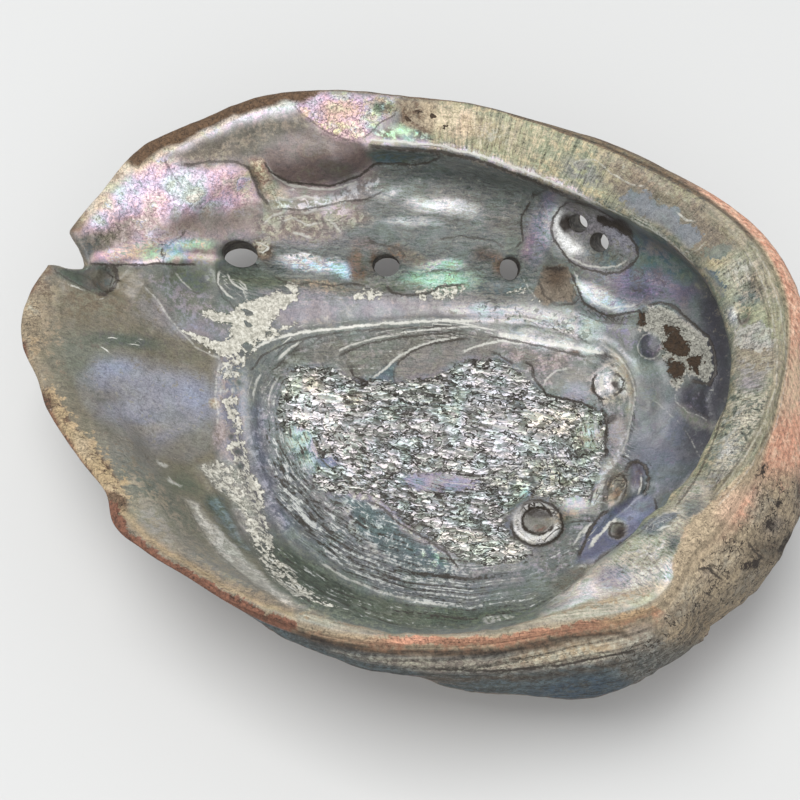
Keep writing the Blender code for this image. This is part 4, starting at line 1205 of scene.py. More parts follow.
def paint_scar(brush):
    """The muscle scar: crinkled silvery flakes, with smooth arcs above and dark ridges below."""
    brush.between(-1, 5.2)
    surround = [
        (262, 380), (285, 350), (340, 335), (420, 326), (500, 326), (570, 338), (620, 360), (640, 400), (632, 470),
        (600, 540), (560, 590), (480, 606), (400, 595), (330, 556), (280, 490), (262, 430),
    ]
    brush.area(surround, 6, tint="slate", other="lilac", cover=-0.2, shine=0.35, streak=1.0, scar_lines=0.9)
    brush.area([(270, 372), (290, 350), (340, 338), (420, 330), (500, 334), (500, 366), (460, 388), (300, 396)], 5,
               tint="lobe", other="grey", cover=-0.2, scar_lines=0.6, shine=0.25, dull=0.5, streak=1.2)
    brush.area([(396, 384), (394, 368), (404, 356), (424, 346), (470, 340), (498, 344), (486, 358), (450, 374),
                (440, 384)], 3, tint="warm lobe", other="lobe", cover=-0.3, scar_lines=0.3, dull=0.5, streak=1.2)
    brush.area([(352, 352), (390, 345), (372, 366), (356, 372)], 4, 0.8, tint="green grey", other="warm lobe",
               cover=0.0)
    brush.area([(372, 379), (388, 366), (396, 364), (393, 384), (380, 385)], 2, tint="teal", other="teal grey",
               cover=-0.4)
    brush.area([(490, 340), (530, 346), (575, 353), (590, 362), (560, 368), (545, 390), (528, 366), (505, 357)], 4,
               tint="warm lobe", other="mauve", cover=-0.1, shine=0.4, scar_lines=0.2, dull=0.4, streak=1.2)
    brush.area([(552, 378), (574, 366), (590, 366), (588, 392), (560, 396), (548, 392)], 4, tint="lobe", other="grey",
               cover=-0.3, scar_lines=0.1)
    brush.oval((575, 392), (18, 8), 8, 0.6, 0.8, tint="lavender", other="lobe", cover=-0.3, scar_lines=0.0)
    brush.oval((602, 358), (12, 8), 10, 0.6, 0.95, tint="dark slate", other="slate", cover=0.0)
    brush.area(SCAR, 7, tint="lavender", other="teal grey", cover=-0.25, shine=0.9, flake=1.0, streak=0.0)
    brush.oval((420, 398), (50, 12), 6, 0.8, 0.8, tint="teal grey", other="lavender", cover=-0.1)
    brush.oval((540, 480), (44, 18), -10, 0.8, 0.8, tint="teal grey", other="cream green", cover=0.0)
    brush.oval((560, 420), (30, 16), 0, 0.8, 0.7, tint="cream", other="pale lavender", cover=0.0)
    brush.oval((308, 384), (20, 12), 0, 0.6, 0.9, tint="cream", other="olive", cover=0.1, flake=0.7)
    brush.oval((352, 398), (9, 8), 0, 0.4, 0.95, tint="tan", other="cream", cover=-0.1, flake=0.1)
    brush.oval((335, 390), (8, 5), 0, 0.4, 0.95, tint="teal", other="teal grey", cover=-0.1, flake=0.1)
    brush.oval((318, 415), (34, 34), 20, 0.7, 0.9, tint="pale lavender", flake=1.6)
    brush.oval((500, 425), (60, 34), 8, 0.8, 0.8, flake=1.5)
    brush.oval((400, 405), (44, 16), 4, 0.8, 0.7, flake=0.95)
    brush.oval((500, 515), (36, 18), 0, 0.8, 0.8, flake=0.85)
    brush.oval((304, 447), (14, 26), -24, 0.4, 0.95, tint="silver", other="teal grey", cover=-0.1, flake=0.1,
               shine=0.9, dull=0.4)
    brush.oval((328, 463), (10, 6), 0, 0.5, 0.9, tint="iris", other="lavender", cover=-0.1, flake=0.2)
    brush.oval((526, 494), (7, 3.5), -10, 0.5, 0.9, tint="cyan", other="teal", cover=-0.3, flake=0.1, shine=1.0)
    brush.oval((510, 400), (18, 6), 20, 0.6, 0.7, tint="pale iris", other="lavender", flake=0.5)
    brush.oval((440, 482), (44, 11), 2, 0.5, 0.9, tint="pale lavender", flake=0.2, other="lavender", cover=0.0,
               streak=1.0)
    brush.oval((480, 548), (44, 14), 8, 0.7, 0.7, tint="chalk", flake=1.4)
    brush.oval((590, 436), (15, 18), 8, 0.5, 0.9, tint="cream green", other="silver", cover=0.0, shine=0.7,
               flake=0.3, streak=1.6)
    teal_pool = [
        (345, 498), (365, 500), (390, 518), (405, 532), (432, 548), (458, 572), (446, 586), (412, 578), (384, 556),
        (358, 530),
    ]
    brush.band([*teal_pool, teal_pool[0]], 8, 0.9, tint="lilac", other="chalk", cover=0.0, chalk=0.15, flake=0)
    brush.area(teal_pool, 2, tint="teal grey", other="silver", cover=-0.3, shine=0.2, flake=0.0, scar_lines=0.9,
               chalk=-1, streak=1.0, dull=0.6)
    brush.mark("dark", [(366, 500), (384, 508), (400, 524), (425, 538), (446, 552), (462, 572)], 1.3, 0.9)
    brush.oval((432, 560), (16, 9), 35, 0.7, 0.8, tint="teal grey", other="mint", cover=-0.3, shine=1.0)
    brush.band([(280, 450), (296, 500), (322, 533), (360, 560), (405, 581), (450, 594), (500, 598), (540, 594)], 20,
               0.95, tint="grey blue", other="slate", cover=0.0, shine=0.3, streak=0.8, scar_lines=1.9, chalk=-1)
    low = [
        (256, 548), (275, 540), (300, 556), (350, 590), (420, 608), (500, 606), (560, 590), (575, 600), (520, 622),
        (440, 630), (390, 629), (340, 618), (300, 604), (270, 580),
    ]
    brush.between(-1, 7.4)
    brush.area(low, 6, tint="dark green", other="moss", cover=-0.1, shine=0.2, flake=0.0, streak=0.8,
               scar_lines=0.9, chalk=-1)
    brush.oval((330, 590), (46, 16), 34, 0.7, 0.9, tint="deep green", other="dark green", cover=0.0)
    brush.oval((390, 612), (40, 9), 8, 0.7, 0.8, tint="moss", other="green grey", cover=0.0)
    brush.oval((530, 590), (34, 12), -14, 0.7, 0.8, tint="green grey", other="slate", cover=0.0)
    brush.oval((530, 582), (60, 16), -6, 0.7, 0.9, scar_lines=0.4)
    brush.between(-1, 4.6)
    brush.oval((612, 386), (20, 22), 0, 0.4, 0.95, tint="grey", other="cream", cover=0.1, shine=0.2, flake=0.0,
               scar_lines=0.1, dull=0.5)
    brush.oval((604, 383), (11, 14), 14, 0.45, tint="silver", other="white", cover=0.0, shine=0.4, dull=0.6)
    # Painted glint: a silver and white streak along the scar's upper edge.
    brush.band([(496, 333), (520, 337), (545, 342), (566, 346), (588, 350), (606, 353)], 5, 0.9, tint="silver",
               other="white", cover=0.1, flake=0.0, scar_lines=0.0, shine=0.4)
    brush.oval((617, 432), (8, 13), 0, 0.5, 0.9, tint="mauve", other="lilac", cover=-0.2, scar_lines=0.0)
    brush.oval((611, 420), (5, 4), 0, 0.4, tint="black brown", other="black brown", scar_lines=0.0)
    brush.band([(594, 510), (597, 492), (600, 484), (607, 472), (616, 460), (622, 448), (627, 430)], 4.5, 0.95,
               tint="pale grey", other="silver", cover=0.0, flake=0.0, scar_lines=0.0)
    brush.oval((623, 386), (5, 9), 0, 0.4, 0.9, tint="lobe", other="silver", cover=0.0)
    brush.oval((603, 357), (9, 4), 8, 0.4, 0.95, tint="black brown", other="dark slate", cover=-0.1)
    brush.band([(611, 350), (622, 362), (629, 380), (630, 400), (627, 425)], 2.8, 0.8, tint="cream", other="tan",
               cover=-0.1, scar_lines=0.0, flake=0.0)
    brush.mark("dark", [(599, 371), (593, 380), (593, 391), (600, 399), (611, 401)], 1.5, 0.95)
    brush.mark("dark", [(611, 376), (618, 374), (624, 381), (622, 391), (615, 395), (611, 389)], 1.1, 0.85)
    brush.mark("pale", [(604, 372), (601, 382), (604, 394)], 2.0, 1.0)
    brush.mark("pale", [(609, 369), (616, 368), (622, 374)], 1.4, 0.9)
    brush.oval((616.5, 384), (3.6, 5), 0, 0.3, tint="black brown", other="black brown", chalk=-1)
    brush.oval((594, 388), (3, 4), 0, 0.4, tint="brown", other="brown")
    brush.oval((577, 352), (5, 4), 0, 0.5, tint="brown", other="brown")
    brush.oval((560, 383), (3, 3), 0, 0.5, 0.7, tint="umber")
    brush.oval((560, 500), (26, 16), 0, 0.6, 0.7, tint="silver", shine=1.2, flake=0.8)
    for line, width, strength in (
        ([(250, 372), (262, 356), (285, 344), (310, 337), (345, 332), (400, 328), (470, 326)], 1.1, 0.75),
        ([(272, 372), (290, 354), (306, 345)], 1.0, 0.7),
        ([(350, 362), (353, 376), (362, 379), (371, 383)], 1.5, 0.95),
        ([(337, 357), (350, 350), (372, 343), (402, 337), (436, 334), (470, 330)], 1.1, 0.8),
        ([(397, 368), (400, 361), (412, 352), (426, 346), (446, 341), (474, 338)], 1.1, 0.85),
        ([(396, 366), (393, 376), (395, 383), (420, 382), (446, 376)], 0.9, 0.6),
        ([(488, 352), (498, 354), (508, 361), (516, 365)], 1.3, 0.95),
        ([(522, 360), (533, 366), (534, 378), (541, 387), (546, 395), (556, 397), (580, 402), (604, 414)], 1.3, 0.95),
        ([(484, 336), (510, 340), (540, 346), (566, 352), (590, 358)], 1.1, 0.85),
        ([(596, 404), (606, 414), (607, 430), (605, 442), (606, 452), (603, 460)], 2.2, 1.0),
        ([(589, 510), (592, 496), (595, 486)], 1.6, 0.9),
        ([(604, 506), (603, 494), (607, 482), (612, 474)], 1.5, 0.9),
        ([(436, 572), (460, 579), (486, 580)], 1.0, 0.6),
        ([(579, 438), (575, 452), (582, 466)], 1.0, 0.7),
        ([(262, 388), (278, 360), (315, 344), (370, 333)], 1.0, 0.5),
        ([(290, 385), (285, 410), (288, 436)], 1.0, 0.6),
    ):
        brush.mark("dark", line, width, strength)
    for line, width, strength in (
        ([(318, 560), (345, 578), (380, 592), (420, 602), (450, 607)], 1.3, 0.6),
        ([(250, 350), (270, 340), (300, 332), (340, 328), (380, 324), (430, 321), (480, 321)], 1.6, 0.95),
        ([(276, 362), (288, 350), (302, 341)], 1.3, 0.8),
        ([(337, 352), (350, 345), (368, 340), (402, 333), (436, 329), (470, 326), (500, 331)], 1.2, 0.75),
        ([(371, 379), (384, 369), (400, 356), (415, 348), (435, 341), (466, 336)], 1.4, 0.75),
        ([(496, 333), (520, 337), (545, 342), (566, 346), (588, 350), (606, 353)], 1.8, 0.85),
        ([(460, 353), (478, 346), (500, 341), (528, 344)], 1.2, 0.8),
        ([(541, 390), (546, 379), (556, 371), (574, 367)], 1.1, 0.6),
        ([(606, 352), (620, 358), (630, 372), (635, 392), (632, 415), (627, 440), (620, 456)], 1.0, 0.55),
        ([(252, 404), (256, 384), (262, 370)], 1.3, 0.7),
        ([(268, 410), (270, 392), (280, 374)], 1.1, 0.6),
    ):
        brush.mark("pale", line, width, strength)


def paint_ring(brush):
    """The worm tube on the floor, with painted shade inside its top, and the swirls and pockets beside it, with a
    painted highlight in the pocket.
    """
    brush.between(-1, 4.8)
    brush.oval((537, 523), (30, 26), 0, 0.3, 0.95, tint="slate", other="umber", cover=0.0, flake=0, shine=0.1,
               scar_lines=0.1)
    brush.oval((537, 523), (24, 20.5), 0, 0.12, tint="white", other="chalk", cover=-0.2, shine=0.1, dull=0.3)
    brush.oval((538, 521), (15.5, 12.5), 0, 0.12, tint="grey", other="lobe", cover=-0.1, dull=0.4)
    # Painted shade: the black inside the ring's upper wall.
    brush.oval((538, 513), (14, 4.5), 0, 0.4, 0.95, tint="black brown", other="black brown")
    brush.oval((541, 529), (6, 3.5), 0, 0.5, 0.8, tint="red brown", other="umber", cover=0.0)
    circle = [(538 + 16 * np.cos(t), 521 + 13 * np.sin(t)) for t in np.linspace(0, 2 * np.pi, 21)]
    brush.mark("dark", circle, 1.7, 1.0)
    circle = [(537 + 26 * np.cos(t), 523.5 + 22.5 * np.sin(t)) for t in np.linspace(-2.4, 3.4, 24)]
    brush.mark("dark", circle, 1.7, 0.95)
    brush.oval((576, 504), (13, 8), -15, 0.5, 0.9, tint="silver", other="mint", cover=0.0, shine=0.8, flake=0.0,
               scar_lines=0.0)
    brush.oval((566, 516), (18, 6), -20, 0.6, 0.8, tint="olive", other="tan", cover=0.0)
    brush.oval((616, 489), (11, 17), 14, 0.5, 0.95, tint="olive", other="tan", cover=-0.1, flake=0.0, shine=0.2,
               scar_lines=0.0)
    brush.oval((618, 492), (5, 6), 20, 0.5, 0.9, tint="brown", other="rim brown")
    brush.mark("dark", [(607, 506), (607, 490), (612, 479), (622, 474), (627, 482), (625, 493), (618, 503)], 1.4, 0.9)
    brush.mark("dark", [(613, 490), (618, 484), (623, 488), (621, 496), (616, 499)], 1.1, 0.8)
    brush.mark("dark", [(623, 476), (629, 465), (637, 461), (645, 466), (649, 477), (647, 490), (642, 498)], 2.0, 1.0)
    brush.oval((637, 478), (6, 14), -10, 0.5, 0.9, tint="plum", other="brown", cover=-0.2, scar_lines=0.0)
    brush.mark("pale", [(641, 472), (641, 486), (637, 498)], 1.3, 0.9)
    brush.mark("pale", [(629, 478), (624, 490), (616, 502)], 1.2, 0.8)
    pocket = [
        (576, 562), (590, 525), (610, 510), (630, 499), (650, 496), (657, 509), (642, 530), (612, 550), (592, 568),
    ]
    brush.area(pocket, 3, tint="iris", other="shade lavender", cover=-0.2, shine=0.3, flake=0, streak=0.5,
               scar_lines=0.0)
    brush.oval((636, 514), (16, 8), -30, 0.8, 0.6, tint="pale iris")
    brush.oval((645, 508), (10, 5), -30, 0.8, 0.7, tint="teal grey")
    brush.mark("dark", [(590, 566), (612, 549), (641, 530), (657, 509), (654, 496)], 1.2, 0.8)
    brush.mark("dark", [(577, 560), (584, 545), (591, 528), (601, 515), (612, 508)], 1.8, 1.0)
    # Painted highlights: the white streaks down the pocket.
    brush.mark("pale", [(588, 550), (597, 537), (610, 524), (618, 517)], 1.8, 1.0)
    brush.mark("pale", [(582, 540), (588, 528), (594, 520)], 1.4, 0.9)
    brush.mark("pale", [(572, 548), (580, 534), (590, 522)], 1.1, 0.7)
    brush.oval((617, 529), (10, 8.5), 0, 0.3, 0.95, tint="pale grey", other="grey", cover=0.0)
    brush.oval((617.5, 530), (7.5, 6.5), 0, 0.25, tint="umber", other="umber")
    # Painted shade inside the small tube.
    brush.oval((619, 532), (5, 4), 0, 0.3, tint="black brown", other="black brown")
    circle = [(617 + 8.5 * np.cos(t), 530 + 7.5 * np.sin(t)) for t in np.linspace(0, 2 * np.pi, 15)]
    brush.mark("dark", circle, 1.3, 0.9)
    brush.oval((490, 620), (6, 5), 0, 0.5, 0.95, tint="chalk", dull=0.5)
    brush.oval((490, 620), (2.4, 2), 0, 0.4, tint="moss")
    for bead in (499, 506, 512):
        brush.oval((bead, 618), (2.6, 2.4), 0, 0.5, 0.9, tint="chalk")


def paint_front_corner(brush):
    """The cream nacre low on the right, with a grey pocket and a lilac patch."""
    brush.between(2.5, 8.2)
    brush.oval((576, 580), (22, 18), -30, 0.6, 0.95, tint="umber", other="brown", cover=-0.1, shine=0.1,
               scar_lines=0.3)
    brush.area([(540, 618), (560, 590), (590, 568), (640, 535), (668, 508), (690, 480), (712, 480), (700, 530),
                (672, 580), (640, 606), (580, 622)], 5, tint="cream", other="grey", cover=-0.3, shine=0.4,
               streak=1.0, flake=0.0, dull=0.3)
    brush.oval((604, 590), (44, 12), -22, 0.7, 0.9, tint="white", other="chalk", cover=0.0, shine=0.5)
    brush.oval((655, 560), (24, 30), 25, 0.7, 0.7, tint="cream green", other="chalk", cover=0.0, dull=0.4)
    brush.oval((613, 578), (18, 13), -10, 0.4, 0.8, tint="lavender", other="lilac", cover=0.0, shine=0.5)
    pocket = [(552, 582), (560, 568), (574, 564), (590, 565), (583, 578), (566, 592), (556, 594)]
    brush.area(pocket, 2, tint="lobe", other="umber", cover=-0.1, shine=0.2, dull=0.5)
    brush.mark("pale", [(553, 584), (560, 569), (574, 565), (590, 566)], 1.8, 0.8)
    brush.oval((655, 527), (16, 7), -24, 0.6, 0.9, tint="teal", other="grey blue", cover=0.0, shine=0.3)
    brush.oval((674, 543), (7, 10), 10, 0.5, 0.95, tint="slate", other="dark slate", cover=0.0, dull=1.0)
    brush.oval((690, 530), (8, 12), 20, 0.7, 0.8, tint="olive", other="tan", cover=0.0)
    brush.oval((668, 573), (5, 12), 10, 0.5, 0.9, tint="silver", other="mint", cover=0.0, shine=0.8)
    brush.oval((640, 596), (32, 6), -18, 0.7, 0.9, tint="yellow nacre", other="cream", cover=0.0, dull=0.2)
    brush.oval((608, 604), (30, 5), -14, 0.7, 0.8, tint="tan", other="cream", cover=0.0)
    brush.patch([(640, 530), (652, 520), (668, 513), (682, 514), (678, 521), (664, 525), (650, 534)], "grey blue", 5,
                dull=0.6)
    brush.mark("pale", [(640, 536), (650, 524), (662, 514), (678, 511), (690, 515)], 1.1, 0.5)
    brush.mark("pale", [(652, 534), (664, 527), (676, 523)], 1.1, 0.7)
    brush.oval((692, 508), (10, 12), 30, 0.7, 0.95, tint="slate", other="umber", cover=-0.1, dull=0.4)
    brush.mark("dark", [(596, 556), (618, 546), (640, 533), (660, 514)], 1.0, 0.5)
    brush.band([(560, 606), (600, 596), (645, 580), (690, 550)], 4, 0.7, tint="chalk")
    brush.oval((540, 606), (30, 7), -8, 0.7, 0.7, tint="slate")


def paint_top_left(brush):
    """The broad lip behind the half-made hole: pink granular nacre under a broad painted reflection, a brown oval and a
    grey brown band.
    """
    brush.between(1.5, 9.0)
    brush.area([(72, 236), (100, 200), (150, 150), (200, 128), (262, 104), (330, 96), (400, 100), (380, 150),
                (360, 215), (330, 236), (260, 240), (210, 246), (160, 246), (86, 256)], 8, tint="mauve",
               other="grey", cover=-0.2, shine=0.4, streak=0.2)
    # The pink, pale pink and white below are partly the nacre's own colour and partly a painted reflection of the soft
    # light.
    brush.area([(82, 232), (100, 205), (130, 172), (160, 152), (186, 164), (230, 166), (250, 176), (256, 200),
                (232, 214), (190, 236), (140, 244), (96, 248)], 8, tint="pink", other="pale pink", cover=0.0,
               shine=0.8, dull=0.95)
    brush.oval((140, 190), (50, 20), -28, 0.7, 0.9, tint="pale pink", other="white", cover=-0.1, shine=0.8)
    brush.oval((215, 184), (34, 16), 0, 0.6, 0.9, tint="pale pink", other="pink", cover=0.0)
    brush.oval((250, 182), (10, 13), 0, 0.7, 0.8, tint="pale pink", other="yellow nacre", cover=0.1)
    brush.oval((186, 186), (20, 14), 0, 0.7, 0.8, tint="silver", other="white", cover=-0.1, shine=0.4)
    brush.oval((112, 206), (12, 18), 35, 0.7, 0.6, tint="white", other="pale pink", cover=-0.1)
    brush.oval((120, 224), (34, 10), -20, 0.7, 0.8, tint="mauve", other="pink", cover=-0.2)
    brush.oval((104, 240), (36, 9), -12, 0.7, 0.95, tint="olive", other="rose taupe", cover=-0.1, shine=0.1)
    brush.oval((88, 246), (10, 12), 0, 0.7, 0.9, tint="dark slate", other="umber", cover=0.0)
    brush.oval((206, 223), (52, 12), -6, 0.7, 0.95, tint="rose taupe", other="umber", cover=-0.3, dull=0.2,
               shine=0.2, cross_lines=0.3)
    brush.band([(92, 214), (112, 186), (140, 160), (165, 146)], 7, 0.8, tint="yellow nacre", other="cream",
               cover=0.0)
    brush.area([(165, 154), (200, 140), (240, 124), (280, 114), (315, 118), (300, 142), (270, 160), (230, 160),
                (190, 162)], 7, tint="umber", other="taupe", cover=-0.1, shine=0.1, dull=0.3, cross_lines=0.4)
    brush.oval((200, 156), (34, 8), -12, 0.7, 0.6, tint="taupe", other="dusty gold", cover=-0.1)
    brush.oval((270, 124), (40, 8), -14, 0.7, 0.7, tint="umber", other="taupe", cover=0.0)
    brush.band([(162, 150), (195, 133), (235, 118), (275, 108), (300, 102)], 7, 1.0, tint="white",
               other="pale pink", cover=0.0, shine=0.5, dull=0.6)
    brush.area([(250, 160), (262, 160), (272, 182), (288, 196), (276, 206), (262, 192), (252, 176)], 2.5,
               tint="salmon", other="yellow nacre", cover=0.0, shine=0.3, dull=0.9)
    brush.band([(176, 163), (200, 166), (216, 162), (244, 163)], 2.2, 0.8, tint="taupe", other="umber", cover=0.0)
    brush.band([(244, 162), (251, 168), (256, 180), (260, 193), (268, 206), (276, 213)], 3.0, 0.95, tint="olive",
               other="rim brown", cover=-0.2, shine=0.0)
    brush.oval((276, 192), (12, 9), 40, 0.6, 0.8, tint="yellow nacre", other="cream", cover=0.0)
    brush.area([(262, 150), (290, 132), (330, 128), (366, 142), (372, 162), (352, 176), (318, 186), (285, 184),
                (268, 170)], 4, tint="rose brown", other="umber", cover=-0.6, shine=0.3, dull=0.1, streak=0.6)
    brush.oval((300, 150), (28, 12), -10, 0.8, 0.7, tint="rose taupe")
    brush.oval((320, 172), (44, 10), -4, 0.8, 0.8, tint="rose brown", other="umber", cover=0.0)
    brush.area([(366, 150), (400, 148), (436, 156), (408, 163), (376, 168)], 3, tint="dark green", other="teal",
               cover=0.0, shine=0.4)
    brush.area([(252, 214), (300, 212), (360, 206), (372, 220), (330, 236), (262, 240)], 5, 0.9, tint="rose taupe",
               other="cream", cover=0.0, shine=0.2, streak=0.8, dull=0.5)
    brush.oval((305, 203), (40, 6), -4, 0.6, 0.9, tint="cream", other="white", cover=0.0)
    brush.oval((335, 211), (14, 7), 0, 0.6, 0.9, tint="pale pink", other="cream", cover=0.0)
    brush.oval((360, 190), (24, 9), -14, 0.7, 0.8, tint="grey", other="silver", cover=0.0)
    for line, width, strength in (
        ([(180, 165), (193, 164), (210, 162), (227, 161), (240, 164), (249, 168), (255, 182), (259, 193),
          (274, 210)], 1.5, 0.75),
        ([(162, 155), (168, 166), (177, 180), (186, 190)], 1.1, 0.6),
        ([(190, 226), (182, 236), (172, 242), (164, 250)], 0.9, 0.6),
        ([(262, 159), (270, 172), (290, 183), (330, 186), (360, 176), (375, 164), (390, 163), (410, 165),
          (428, 163), (443, 155)], 1.3, 0.9),
        ([(270, 209), (300, 210), (330, 205), (346, 201), (366, 200), (386, 190)], 1.1, 0.7),
        ([(285, 218), (310, 221), (335, 222), (352, 214)], 1.0, 0.5),
    ):
        brush.mark("dark", line, width, strength)
    for line in ([(272, 196), (288, 200), (306, 197), (324, 200)], [(300, 214), (318, 209), (340, 212)],
                 [(278, 222), (294, 218), (308, 226), (322, 222)], [(322, 216), (334, 224), (344, 236)],
                 [(288, 232), (302, 234), (314, 240)], [(262, 226), (272, 216), (288, 211)],
                 [(264, 162), (274, 176), (294, 187), (332, 190), (362, 180)]):
        brush.mark("pale", line, 1.3, 0.7)


def paint_bright_patch(brush):
    """Along the back rim: the iridescent granular patch, the brown one and the green wedge."""
    brush.between(5.0, 9.4)
    brush.area([(290, 100), (330, 94), (398, 98), (396, 112), (380, 122), (372, 132), (358, 139), (345, 139),
                (320, 128), (300, 112)], 3, tint="pink", other="yellow nacre", cover=-0.1, shine=0.8, dull=1.3)
    brush.oval((338, 112), (20, 8), 0, 0.7, 0.7, tint="yellow nacre", other="rose", cover=0.0)
    brush.oval((384, 107), (13, 7), 10, 0.7, 0.95, tint="mint", other="moss", cover=0.2)
    brush.oval((360, 128), (12, 7), 20, 0.7, 0.8, tint="pink", other="white", cover=0.0)
    brush.area([(398, 100), (415, 98), (438, 104), (441, 130), (436, 142), (420, 130), (400, 126)], 3,
               tint="rim brown", other="crust", cover=0.1, shine=0.0, dull=0.7)
    brush.area([(420, 102), (480, 108), (482, 140), (460, 146), (438, 136)], 4, 0.9, tint="bright tan", other="sand",
               cover=0.0, shine=0.0, dull=0.8)
    brush.area([(370, 128), (400, 124), (425, 134), (442, 141), (420, 146), (385, 143)], 3, tint="moss",
               other="mint", cover=-0.1, shine=0.9, dull=0.1)
    brush.oval((404, 131), (12, 5), 20, 0.6, 0.8, tint="mint", shine=0.9)
    for spot in ((418, 110), (432, 115), (408, 118), (445, 128)):
        brush.oval(spot, (4, 3), 0, 0.5, brown=0.5)
    for spot in ((477, 110), (487, 122), (496, 113), (482, 116)):
        brush.oval(spot, (5, 3.5), 20, 0.5, 0.9, tint="white", other="grey", cover=0.0)
    brush.mark("dark", [(412, 128), (425, 138), (440, 142)], 1.0, 0.7)
    brush.mark("dark", [(291, 101), (300, 112), (320, 128), (345, 140), (360, 139)], 1.1, 0.6)
    brush.mark("dark", [(398, 103), (395, 115), (380, 123), (371, 133), (359, 140)], 1.1, 0.7)


